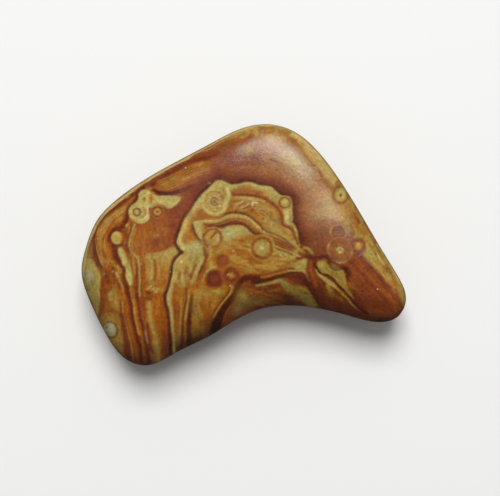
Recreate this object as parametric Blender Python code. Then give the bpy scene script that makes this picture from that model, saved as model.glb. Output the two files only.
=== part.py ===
"""A tumbled porcelanite pebble, 32 mm long: one solid stone, lying on a small flat worn spot.

The stone has a boomerang outline: a broad lobe in the west, a blunt shoulder in the north, a tapering
snout in the east and a shallow bay in the south. Its waist is the line where it is widest. Above the
waist a crown domes over, and below it a belly rounds in to the flat spot that the stone rests on.
Units are metres, +Z is up and the table is z = 0. The origin is under the middle of the stone's box.
"""

import bmesh
import bpy
import numpy as np

MM = 0.001

# Waist stations, clockwise from the west, in millimetres: place in plan, height of the waist over the
# table, then how far in from the waist the crown and the belly take to level out.
WAIST = (
    (-15.9, -2.9, 3.3, 3.6, 6.6),
    (-15.5, -0.6, 3.4, 3.5, 6.4),
    (-14.5, 2.0, 3.5, 3.4, 6.2),
    (-12.5, 4.2, 3.6, 3.5, 6.4),
    (-9.8, 6.2, 3.7, 3.7, 6.8),
    (-6.4, 8.2, 3.8, 4.0, 7.2),
    (-3.0, 10.1, 3.9, 4.6, 7.4),
    (0.1, 11.6, 4.0, 5.4, 7.0),
    (2.7, 11.9, 4.1, 6.0, 6.8),
    (5.2, 11.1, 4.1, 6.2, 6.8),
    (7.5, 9.1, 4.0, 6.2, 7.0),
    (9.4, 6.5, 4.0, 5.8, 7.0),
    (11.7, 2.6, 4.0, 5.2, 6.8),
    (13.5, -0.7, 4.1, 4.6, 6.2),
    (15.15, -3.6, 4.2, 4.2, 5.6),
    (15.8, -5.8, 4.3, 3.8, 5.2),
    (14.9, -7.5, 4.3, 3.6, 5.2),
    (12.8, -7.9, 4.2, 3.6, 5.6),
    (10.0, -7.2, 4.1, 3.6, 6.0),
    (7.0, -6.5, 3.9, 3.6, 6.4),
    (4.4, -6.25, 3.8, 3.5, 6.4),
    (2.0, -6.5, 3.7, 3.5, 6.4),
    (-0.1, -7.3, 3.5, 3.4, 6.4),
    (-3.7, -9.4, 3.2, 3.4, 6.6),
    (-6.4, -10.7, 3.0, 3.4, 6.6),
    (-9.7, -12.05, 2.8, 3.4, 6.2),
    (-11.5, -11.45, 2.8, 3.5, 6.0),
    (-13.3, -9.3, 2.9, 3.6, 6.2),
    (-15.0, -6.0, 3.1, 3.7, 6.6),
)
MIDDLE = (-1.2, -0.2)  # point in plan that sees the whole waist, and that the rings close on

CROWN_TOP = 8.7  # height of the crown over the middle of the stone
CROWN_FALL = (0.035, 0.010)  # millimetres that the crown drops for each millimetre east and north
BELLY_SAG = 0.55  # how far the belly would reach under the table if it weren't worn flat there

# Broad shallow hollows (under zero) and swells of the crown: place, radius and height.
CROWN_DENTS = (
    (-10.5, -4.5, 4.0, 0.14),
    (-4.0, 5.0, 3.6, -0.12),
    (2.0, -1.5, 3.4, -0.10),
    (4.6, 8.2, 2.6, 0.12),
    (9.8, -2.2, 3.0, 0.12),
    (8.3, 4.4, 2.0, -0.10),
)

AROUND = 96  # points in each ring
CROWN_RINGS = 18
BELLY_RINGS = 14
RIM_PIECES = 3 * AROUND  # straight pieces of the waist that distances are summed over
FLAT_SEARCH_STEPS = 30  # halvings that find the edge of the flat spot


def closed_spline(stations, count):
    """Smooth closed curve through the stations: cubic pieces with matching slope and bend at each
    station, read at count places spaced evenly in chord length."""
    stations = np.array(stations, float)
    chords = np.linalg.norm(np.roll(stations, -1, 0)[:, :2] - stations[:, :2], axis=1)
    number = len(stations)
    system = np.zeros((number, number))
    right = np.zeros_like(stations)
    for i in range(number):
        before, after = chords[i - 1], chords[i]
        system[i, i - 1] = before
        system[i, i] = 2 * (before + after)
        system[i, (i + 1) % number] = after
        rise_after = (stations[(i + 1) % number] - stations[i]) / after
        rise_before = (stations[i] - stations[i - 1]) / before
        right[i] = 6 * (rise_after - rise_before)
    bends = np.linalg.solve(system, right)
    ends = np.concatenate([[0], np.cumsum(chords)])
    along = np.linspace(0, ends[-1], count, endpoint=False)
    piece = np.searchsorted(ends, along, side="right") - 1
    following = (piece + 1) % number
    chord = chords[piece][:, None]
    past = (along - ends[piece])[:, None]
    left = chord - past
    return (
        (bends[piece] * left**3 + bends[following] * past**3) / (6 * chord)
        + (stations[piece] / chord - bends[piece] * chord / 6) * left
        + (stations[following] / chord - bends[following] * chord / 6) * past
    )


def rim_weights(places, rim):
    """Weight of each straight piece of the rim at each place in plan: the sum of 1 / distance squared
    along the piece, which is its length over the product of its two end distances, times the angle
    that it subtends over that angle's sine."""
    towards = rim[None, :, :2] - places[:, None, :]
    beyond = np.roll(towards, -1, 1)
    lengths = np.linalg.norm(np.roll(rim, -1, 0)[:, :2] - rim[:, :2], axis=1)
    reach = np.linalg.norm(towards, axis=2) * np.linalg.norm(beyond, axis=2)
    turn = towards[..., 0] * beyond[..., 1] - towards[..., 1] * beyond[..., 0]
    angle = np.arctan2(np.abs(turn), (towards * beyond).sum(2))
    return lengths / np.maximum(reach * np.sinc(angle / np.pi), 1e-9)


def rounding(depth):
    """0 at the waist, where the wall is upright, to 1 where the surface has levelled out."""
    return np.sqrt(1 - np.exp(-2 * depth))


def surface_heights(places, rim, side):
    """Height over the table of the crown (side = +1) or the belly (side = -1) at places in plan.

    The summed weights give a smooth distance to the rim: pi over their sum. The surface leaves the
    waist upright and rounds over to its level within that side's own width."""
    weights = rim_weights(places, rim)
    total = weights.sum(1)
    distance = np.pi / total
    waist, crown_width, belly_width = (weights @ rim[:, 2:] / total[:, None]).T
    if side < 0:
        return waist - (waist + BELLY_SAG) * rounding(distance / belly_width)
    level = CROWN_TOP - places @ np.array(CROWN_FALL)
    for x, y, radius, height in CROWN_DENTS:
        spread = ((places - (x, y)) ** 2).sum(1) / radius**2
        level = level + height * np.exp(-spread)
    return waist + (level - waist) * rounding(distance / crown_width)


def ring_places(edge, share):
    """Places of a ring that lies this share of the way from the middle to the edge."""
    middle = np.array(MIDDLE)
    return middle + (edge - middle) * share


def flat_spot_share(edge, rim):
    """Share of the way out from the middle at which the belly lifts off the table, found by halving."""
    low = np.zeros(len(edge))
    high = np.ones(len(edge))
    for _ in range(FLAT_SEARCH_STEPS):
        share = (low + high) / 2
        lifted = surface_heights(ring_places(edge, share[:, None]), rim, -1) > 0
        high = np.where(lifted, share, high)
        low = np.where(lifted, low, share)
    return high[:, None]


def pebble_rings():
    """Rings of points from the flat spot up over the waist to just short of the crown's top."""
    rim = closed_spline(WAIST, RIM_PIECES)
    edge_stations = closed_spline(WAIST, AROUND)
    edge = edge_stations[:, :2]
    flat = flat_spot_share(edge, rim)
    rings = []
    for i in range(BELLY_RINGS, 0, -1):
        share = 1 - (1 - flat) * (i / BELLY_RINGS) ** 2
        places = ring_places(edge, share)
        heights = surface_heights(places, rim, -1) if i < BELLY_RINGS else np.zeros(AROUND)
        rings.append(np.column_stack([places, heights]))
    rings.append(edge_stations[:, :3])
    for i in range(1, CROWN_RINGS):
        places = ring_places(edge, 1 - (i / CROWN_RINGS) ** 2)
        rings.append(np.column_stack([places, surface_heights(places, rim, 1)]))
    summit = np.array([MIDDLE])
    top = np.column_stack([summit, surface_heights(summit, rim, 1)])[0]
    return rings, top


def skin_rings(mesh, rings, top):
    """Skins the stacked rings, closes the flat spot with one face and the top with a fan."""
    loops = []
    for ring in rings:
        points = [mesh.verts.new(point * MM) for point in ring]
        loops.append([mesh.edges.new((a, b)) for a, b in zip(points, points[1:] + points[:1])])
    mesh.faces.new([edge.verts[0] for edge in loops[0]])
    for lower, upper in zip(loops, loops[1:]):
        bmesh.ops.bridge_loops(mesh, edges=lower + upper)
    summit = mesh.verts.new(top * MM)
    for edge in loops[-1]:
        mesh.faces.new((edge.verts[0], edge.verts[1], summit))
    bmesh.ops.recalc_face_normals(mesh, faces=mesh.faces)


def porcelanite():
    """Polished porcelanite: ochre and rust brown, with a soft wax-like shine."""
    material = bpy.data.materials.new("porcelanite")
    material.use_nodes = True
    shader = material.node_tree.nodes["Principled BSDF"]
    shader.inputs["Base Color"].default_value = (0.33, 0.16, 0.05, 1)
    shader.inputs["Roughness"].default_value = 0.35
    shader.inputs["Metallic"].default_value = 0.0
    return material


def make_pebble():
    rings, top = pebble_rings()
    mesh = bmesh.new()
    skin_rings(mesh, rings, top)
    data = bpy.data.meshes.new("pebble")
    mesh.to_mesh(data)
    mesh.free()
    data.shade_smooth()
    data.materials.append(porcelanite())
    pebble = bpy.data.objects.new("pebble", data)
    bpy.context.scene.collection.objects.link(pebble)
    return pebble


def main():
    for leftover in list(bpy.data.objects):
        bpy.data.objects.remove(leftover)
    make_pebble()


main()
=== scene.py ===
"""Looks of the tumbled porcelanite pebble: its polished skin, and the markings that run through the stone.

The skin is one closed surface made by the same formula as the solid: a waist line, a crown over it and a
belly under it that is worn flat where it rests. The markings are laid on as coats of mineral colour, each
coat placed in millimetres: bands that follow a guide line, patches, rings round a middle. A few coats are
painted light instead: painted shade along the south rims, and painted highlight on the north shoulder and
along the rim. A list of places or of colours is written as a text of rows: "0.4 khaki 1, 0.5 cream" is
khaki, then cream as dense.
"""

import math

import bpy
import numpy as np
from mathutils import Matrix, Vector


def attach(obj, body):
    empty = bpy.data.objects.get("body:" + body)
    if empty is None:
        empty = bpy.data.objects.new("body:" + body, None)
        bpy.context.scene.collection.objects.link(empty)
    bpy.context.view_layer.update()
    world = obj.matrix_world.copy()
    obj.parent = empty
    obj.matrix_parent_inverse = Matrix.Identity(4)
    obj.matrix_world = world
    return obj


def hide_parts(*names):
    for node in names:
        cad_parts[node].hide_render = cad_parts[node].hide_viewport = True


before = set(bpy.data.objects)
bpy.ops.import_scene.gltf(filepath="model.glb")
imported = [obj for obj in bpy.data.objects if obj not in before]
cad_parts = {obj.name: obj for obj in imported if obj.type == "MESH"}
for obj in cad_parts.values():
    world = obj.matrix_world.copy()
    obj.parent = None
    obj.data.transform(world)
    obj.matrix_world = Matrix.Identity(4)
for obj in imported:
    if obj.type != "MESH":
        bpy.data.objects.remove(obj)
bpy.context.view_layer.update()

MM = 0.001
HAIR = 1e-6  # a length too short to see, which keeps divisions from failing

# Camera: it looks at a place on the table from 100 mm away, leaning 10 degrees off upright to the south.
AIM = np.array((0.64, 0.11, 0.0))
EYE_DISTANCE = 100.0
EYE_LEAN = math.radians(10)
FRAME_WIDTH = 500  # pixels
FOCAL_LENGTH = 972  # pixels
SENSOR_WIDTH = 36.0

# All markings are placed on a flat sheet that faces the camera, as far from the eye as makes a millimetre
# ten pixels. Its origin is a little off the middle of the picture.
SHEET_SCALE = 10  # pixels a millimetre
SHEET_DEPTH = FOCAL_LENGTH / SHEET_SCALE
SHEET_MIDDLE = np.array((0.6, -0.2))

# Waist stations, clockwise from the west, in millimetres: place in plan, height of the waist over the
# table, then how far in from the waist the crown and the belly take to level out.
WAIST = (
    (-15.9, -2.9, 3.3, 3.6, 6.6),
    (-15.5, -0.6, 3.4, 3.5, 6.4),
    (-14.5, 2.0, 3.5, 3.4, 6.2),
    (-12.5, 4.2, 3.6, 3.5, 6.4),
    (-9.8, 6.2, 3.7, 3.7, 6.8),
    (-6.4, 8.2, 3.8, 4.0, 7.2),
    (-3.0, 10.1, 3.9, 4.6, 7.4),
    (0.1, 11.6, 4.0, 5.4, 7.0),
    (2.7, 11.9, 4.1, 6.0, 6.8),
    (5.2, 11.1, 4.1, 6.2, 6.8),
    (7.5, 9.1, 4.0, 6.2, 7.0),
    (9.4, 6.5, 4.0, 5.8, 7.0),
    (11.7, 2.6, 4.0, 5.2, 6.8),
    (13.5, -0.7, 4.1, 4.6, 6.2),
    (15.15, -3.6, 4.2, 4.2, 5.6),
    (15.8, -5.8, 4.3, 3.8, 5.2),
    (14.9, -7.5, 4.3, 3.6, 5.2),
    (12.8, -7.9, 4.2, 3.6, 5.6),
    (10.0, -7.2, 4.1, 3.6, 6.0),
    (7.0, -6.5, 3.9, 3.6, 6.4),
    (4.4, -6.25, 3.8, 3.5, 6.4),
    (2.0, -6.5, 3.7, 3.5, 6.4),
    (-0.1, -7.3, 3.5, 3.4, 6.4),
    (-3.7, -9.4, 3.2, 3.4, 6.6),
    (-6.4, -10.7, 3.0, 3.4, 6.6),
    (-9.7, -12.05, 2.8, 3.4, 6.2),
    (-11.5, -11.45, 2.8, 3.5, 6.0),
    (-13.3, -9.3, 2.9, 3.6, 6.2),
    (-15.0, -6.0, 3.1, 3.7, 6.6),
)
MIDDLE = (-1.2, -0.2)
CROWN_TOP = 8.7
CROWN_FALL = (0.035, 0.010)
BELLY_SAG = 0.55
CROWN_DENTS = (
    (-10.5, -4.5, 4.0, 0.14),
    (-4.0, 5.0, 3.6, -0.12),
    (2.0, -1.5, 3.4, -0.10),
    (4.6, 8.2, 2.6, 0.12),
    (9.8, -2.2, 3.0, 0.12),
    (8.3, 4.4, 2.0, -0.10),
)
RIM_PIECES = 288
CROWN_RINGS = 136  # rings of the crown's grid
BELLY_RINGS = CROWN_RINGS // 2
BELLY_GAP = 0.5  # how many of its own rings the belly's grid stops short of the waist
RIM_CROWDING = 0.4  # the rings crowd towards the waist, where the wall is steep
WEAR_ROUNDING = 0.02  # how softly the flat worn spot meets the belly
SWELL = 0.03  # gentle unevenness that tumbling leaves
SWELL_SIZE = 2.6
RIM_CHUNK = 6000  # places worked out at a time against the whole rim
LINE_CHUNK = 2_000_000  # pairs of a place and a piece of a line worked out at a time

# Minerals, as sRGB. Iron stains the pale clay of the stone from khaki through ochre to plum. The darkest of
# them is also laid along the south rims as painted shade, and pearl and straw also serve as painted
# highlight on the north shoulder and along the rim.
MINERALS = {
    "straw": "#cbb070",
    "cream": "#b3a45f",
    "sage": "#9f9862",
    "khaki": "#a58f48",
    "olive": "#8f7833",
    "gold": "#ab8034",
    "ochre": "#9c631b",
    "orange": "#9e5911",
    "rust": "#88451b",
    "brick": "#77361e",
    "umber": "#612c19",
    "plum": "#512213",
    "soot": "#341d14",
    "tan": "#a37648",
    "clay": "#885432",
    "mauve": "#7c4a36",
    "pearl": "#cfc4a6",
}

# How coats end.
BELL_REACH = 2.2  # a bell curve is left off past this many of its own widths
SHARP = 0.12  # a sharp edge fades over so many millimetres
STREAK_EDGE = 0.2  # streaks fade over so many at their two sides
STREAK_CONTRAST = 1.6  # how strongly their field swings

# The noise field. Each pattern reads another part of it, so that no two are alike.
SEED = 7
FIELD_START = 60.0  # keeps every place in it over nought
STREAK_START = 50.0
TREMBLE_SHIFTS = (0.0, 17.0)
WANDER_SHIFTS = (31.0, 43.0)
STRATA_SHIFT = 59.0

# How the markings wander, in millimetres.
TREMBLE = 0.05  # how far their edges stray everywhere, and over what length
TREMBLE_SIZE = 0.9
WANDER = 0.7  # how far they stray on the wall under the waist, how wide the bends are, and how far down
WANDER_SIZE = 2.6
WANDER_RUN = 2.5

# Strata on the wall, in millimetres over the waist and shares of the way out from the middle.
WALL_START = (-0.36, -0.2)  # northward shares between which they set in
WALL_CALM = (1.2, -0.6)  # heights between which they start to wave
WALL_LIFT = 0.9  # they reach this much higher in the west,
WALL_TURN = (0.1, -0.4)  # between these eastward shares
WALL_TOP = (1.0, 1.8)  # heights between which they fade out

# The dark seam that parts the belly's own markings from those of the wall, in millimetres.
HEM = 2.2  # how far it runs under the waist, and how far it wanders up and down
HEM_WANDER = 1.0
HEM_SIZE = 4.0
HEM_HALF = 0.1  # its half width, then how softly it ends towards the belly and towards the waist
HEM_SOFT = (0.5, 0.1)

# Polish and grain, in millimetres: each size is how wide one cell of the pattern is, as so many in 10 mm.
CLOUD_SIZE = 10 / 9
BLUSH_SIZE = 10 / 19
GRAIN_SIZE = 10 / 36
PIT_SIZE = 10 / 60
PIT_DEPTH = 0.03
NOISE_SPAN = (0.32, 0.68)  # most values of a noise lie between these
MOTTLE = (0.84, 1.14)  # how dark and how bright the clouds and the grain make a mineral
BLUSH_COOL = (0.88, 0.95, 1.07)  # red, green and blue of the coolest and of the warmest places
BLUSH_WARM = (1.13, 1.03, 0.80)
SPECKS = (  # cell size, widest radius over the cell's width, mineral
    (10 / 15, 0.22, "soot"),
    (10 / 11, 0.18, "umber"),
    (10 / 9, 0.14, "pearl"),
)
SPECK_PATCHES = 0.3  # scale of the patches that specks lie in, as a share of the cells' own
SPECK_LIMITS = (0.45, 0.7)  # values of the patches' noise between which specks grow to their widest
SPECK_COVER = 0.9
ROUGHNESS = 0.2
REFRACTION = 1.54

# Studio. A lamp has its bearing (anticlockwise from east) and height over the table in degrees, its width
# and height in metres, and its power.
FLOOR_HALF = 1.5
FLOOR_ROUGHNESS = 0.9
LAMP_DISTANCE = 0.5
SKYLIGHT = (92, 66, 0.27, 0.27, 2.45)
WINDOW = (70, 36, 0.335, 0.215, 1.5)
ROOM = 0.24  # brightness of the room that lights the stone
SHEEN = 0.02  # brightness of the room as the polish mirrors it
BACKDROP = 0.85  # brightness of the pale wall behind the table


def linear(code):
    """Linear red, green and blue of an sRGB hex colour."""
    shades = np.array([int(code[i : i + 2], 16) for i in (1, 3, 5)]) / 255
    return np.where(shades <= 0.04045, shades / 12.92, ((shades + 0.055) / 1.055) ** 2.4)


PIGMENT = {name: linear(code) for name, code in MINERALS.items()}


def listed(rows):
    """Rows of numbers and minerals. Given as text, rows are parted by commas and their words by blanks, and
    what a row leaves out at its end is as in the row before."""
    if not isinstance(rows, str):
        return rows
    table = [()]
    for row in rows.split(","):
        words = [word if word.isalpha() else float(word) for word in row.split()]
        table.append((*words, *table[-1][len(words) :]))
    return table[1:]


def smooth_step(low, high, value):
    """0 up to low, 1 from high, and an even S between them."""
    share = np.clip((value - low) / (high - low), 0, 1)
    return share * share * (3 - 2 * share)


def bell(distance, width):
    """1 at no distance, and falling as a bell curve of the given width."""
    return np.exp(-((distance / width) ** 2))


class Noise:
    """Smooth random field: random numbers at the corners of a cubic lattice, joined by even S curves."""

    SIDE = 32

    def __init__(self, seed):
        self.values = np.random.default_rng(seed).uniform(-1, 1, (self.SIDE,) * 3)

    def at(self, points, size):
        """The field at each point, when a cell of the lattice is the given size."""
        places = np.asarray(points, float) / size
        cell = np.floor(places).astype(int)
        share = places - cell
        share = share * share * (3 - 2 * share)
        total = np.zeros(len(places))
        for corner in np.ndindex(2, 2, 2):
            weight = np.prod(np.where(corner, share, 1 - share), axis=1)
            i, j, k = ((cell + corner) % self.SIDE).T
            total += weight * self.values[i, j, k]
        return total

    def rough(self, points, size, octaves):
        """Sum of ever finer fields, each half as strong as the last."""
        return sum(self.at(points, size / 2**i) / 2**i for i in range(octaves))

    def pair(self, points, size, shifts):
        """Two rough fields side by side, read at two shifts: one strays east, the other north."""
        return np.column_stack([self.rough(points + shift, size, 2) for shift in shifts])


def closed_spline(stations, shares):
    """Smooth closed curve through the stations: cubic pieces with matching slope and bend at each
    station, read at shares from 0 to 1 of its whole chord length."""
    stations = np.array(stations, float)
    number = len(stations)
    chords = np.linalg.norm(np.roll(stations, -1, 0)[:, :2] - stations[:, :2], axis=1)
    rises = (np.roll(stations, -1, 0) - stations) / chords[:, None]
    before = np.roll(chords, 1)
    system = np.diag(2 * (before + chords))
    system += np.roll(np.diag(chords), 1, axis=1) + np.roll(np.diag(before), -1, axis=1)
    bends = np.linalg.solve(system, 6 * (rises - np.roll(rises, 1, 0)))
    ends = np.concatenate([[0], np.cumsum(chords)])
    along = np.mod(shares, 1) * ends[-1]
    piece = np.clip(np.searchsorted(ends, along, side="right") - 1, 0, number - 1)
    following = (piece + 1) % number
    chord = chords[piece][:, None]
    past = (along - ends[piece])[:, None]
    left = chord - past
    return (
        (bends[piece] * left**3 + bends[following] * past**3) / (6 * chord)
        + (stations[piece] / chord - bends[piece] * chord / 6) * left
        + (stations[following] / chord - bends[following] * chord / 6) * past
    )


def rim_sums(places, rim):
    """Sum of 1 / distance squared along the rim at each place, and the rim's own values averaged with
    those weights. A straight piece counts its length over the product of its two end distances,
    times the angle that it subtends over that angle's sine."""
    lengths = np.linalg.norm(np.roll(rim, -1, 0)[:, :2] - rim[:, :2], axis=1)
    totals, values = [], []
    for start in range(0, len(places), RIM_CHUNK):
        towards = rim[None, :, :2] - places[start : start + RIM_CHUNK, None, :]
        beyond = np.roll(towards, -1, 1)
        reach = np.linalg.norm(towards, axis=2) * np.linalg.norm(beyond, axis=2)
        turn = towards[..., 0] * beyond[..., 1] - towards[..., 1] * beyond[..., 0]
        angle = np.arctan2(np.abs(turn), (towards * beyond).sum(2))
        weights = lengths / np.maximum(reach * np.sinc(angle / np.pi), HAIR**2)
        total = weights.sum(1)
        totals.append(total)
        values.append(weights @ rim[:, 2:] / total[:, None])
    return np.concatenate(totals), np.concatenate(values)


def rounding(depth):
    """0 at the waist, where the wall is upright, to 1 where the surface has levelled out."""
    return np.sqrt(1 - np.exp(-2 * depth))


def crown_heights(places, rim, swell):
    """The crown rises from the waist over its own width to its level: a nearly flat top with a few broad
    hollows and swells, and the faint unevenness that tumbling leaves."""
    total, values = rim_sums(places, rim)
    waist, width, _ = values.T
    level = CROWN_TOP - places @ np.array(CROWN_FALL)
    for x, y, radius, height in CROWN_DENTS:
        level = level + height * np.exp(-((places - (x, y)) ** 2).sum(1) / radius**2)
    spots = np.column_stack([places, np.zeros(len(places))])
    level = level + SWELL * swell.rough(spots, SWELL_SIZE, 2)
    return waist + (level - waist) * rounding(np.pi / total / width)


def belly_heights(places, rim):
    """The belly rounds down from the waist and would sag under the table, but is worn off there: a soft
    maximum of its height and nought."""
    total, values = rim_sums(places, rim)
    waist, _, width = values.T
    height = waist - (waist + BELLY_SAG) * rounding(np.pi / total / width)
    return (height + np.sqrt(height**2 + WEAR_ROUNDING**2)) / 2


def square_rings(rings):
    """Columns and rows of a square grid, the ring that each point lies on, and the share of the way round
    that ring."""
    rows, columns = np.meshgrid(*[np.arange(-rings, rings + 1)] * 2, indexing="ij")
    i, j = columns.ravel(), rows.ravel()
    ring = np.maximum(np.abs(i), np.abs(j))
    side = 2.0 * np.maximum(ring, 1)
    east = (i == ring) & (j < ring)
    north = (j == ring) & (i > -ring)
    west = (i == -ring) & (j > -ring)
    steps = np.select(
        [east, north, west],
        [(j + ring) / side, 1 + (ring - i) / side, 2 + (ring - j) / side],
        3 + (i + ring) / side,
    )
    return ring, steps / 4


def square_faces(rings, first, turned):
    """Quads of the square grid whose points start at index first."""
    size = 2 * rings + 1
    index = first + np.arange(size * size).reshape(size, size)
    quads = np.stack([index[:-1, :-1], index[:-1, 1:], index[1:, 1:], index[1:, :-1]], -1).reshape(-1, 4)
    return quads[:, ::-1] if turned else quads


def sheet_places(rings, outermost):
    """Places in plan of one side's grid. A ring's points lie on rays from the middle to the waist; the
    rings crowd towards the waist, and outermost is how many rings short of the waist the last one is."""
    ring, share_round = square_rings(rings)
    inward = 1 - ring / (rings + outermost)
    share_out = 1 - inward**2 / (inward + RIM_CROWDING * (1 - inward))
    edge = closed_spline(WAIST, share_round)
    places = np.array(MIDDLE) + (edge[:, :2] - MIDDLE) * share_out[:, None]
    places[ring == 0] = MIDDLE
    return ring, share_round, places, edge


def stitch_faces(outer, inner):
    """Triangles between a loop and one with half as many points, all given in order round the stone."""
    here, between, there = outer[0::2], outer[1::2], np.roll(outer[0::2], -1)
    near, far = inner, np.roll(inner, -1)
    return np.concatenate(
        [
            np.stack([here, between, near], -1),
            np.stack([between, far, near], -1),
            np.stack([between, there, far], -1),
        ]
    )


def loop_order(on_loop, share_round):
    """Indices of a loop's points in order round the stone."""
    loop = np.flatnonzero(on_loop)
    return loop[np.argsort(share_round[loop])]


def pebble_surface(swell):
    """Points and faces of the whole stone in millimetres: the crown's grid, the belly's coarser grid, and
    a strip of triangles between them just under the waist. Also says which points are the belly's, and
    the waist point that each point belongs to."""
    rim = closed_spline(WAIST, np.arange(RIM_PIECES) / RIM_PIECES)
    crown_ring, crown_round, crown_plan, crown_edge = sheet_places(CROWN_RINGS, 0)
    on_waist = crown_ring == CROWN_RINGS
    crown_plan[on_waist] = crown_edge[on_waist, :2]
    height = crown_edge[:, 2].copy()
    height[~on_waist] = crown_heights(crown_plan[~on_waist], rim, swell)
    crown = np.column_stack([crown_plan, height])
    belly_ring, belly_round, belly_plan, belly_edge = sheet_places(BELLY_RINGS, BELLY_GAP)
    belly = np.column_stack([belly_plan, belly_heights(belly_plan, rim)])
    points = np.concatenate([crown, belly])
    first = len(crown)
    quads = np.concatenate([square_faces(CROWN_RINGS, 0, True), square_faces(BELLY_RINGS, first, False)])
    waist_loop = loop_order(on_waist, crown_round)
    strip = stitch_faces(waist_loop, first + loop_order(belly_ring == BELLY_RINGS, belly_round))
    is_belly = np.arange(len(points)) >= first
    return points, quads, strip, is_belly, np.concatenate([crown_edge, belly_edge])


def on_sheet(points):
    """Places of points in millimetres on the markings' sheet: where the line from each to the eye meets it,
    across and up from its origin."""
    lean, upright = math.sin(EYE_LEAN), math.cos(EYE_LEAN)
    eye = AIM + EYE_DISTANCE * np.array((0, -lean, upright))
    towards = points - eye
    depth = towards @ np.array((0, lean, -upright))
    across = towards @ np.array((1.0, 0, 0))
    up = towards @ np.array((0, upright, lean))
    return np.column_stack([across, up]) / depth[:, None] * SHEET_DEPTH + SHEET_MIDDLE


def spline_through(points, closed, steps=6):
    """Smooth line through listed points: a Catmull-Rom curve in even steps. Extra columns, such as
    half widths, run along with it."""
    points = np.array(listed(points), float)
    if closed:
        a, b, c, d = (np.roll(points, shift, 0) for shift in (1, 0, -1, -2))
    else:
        padded = np.concatenate([[2 * points[0] - points[1]], points, [2 * points[-1] - points[-2]]])
        a, b, c, d = padded[:-3], padded[1:-2], padded[2:-1], padded[3:]
    share = (np.arange(steps) / steps)[None, :, None]
    a, b, c, d = (side[:, None, :] for side in (a, b, c, d))
    line = 0.5 * (
        2 * b
        + (c - a) * share
        + (2 * a - 5 * b + 4 * c - d) * share**2
        + (3 * b - a - 3 * c + d) * share**3
    )
    line = line.reshape(-1, points.shape[1])
    return np.concatenate([line, line[:1] if closed else points[-1:]])


def moved(path, east, north=0.0, thinner=1.0):
    """A copy of a path that runs beside it, with its half widths divided."""
    path = np.array(listed(path), float)
    path[:, :2] += (east, north)
    path[:, 2:] /= thinner
    return path


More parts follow.
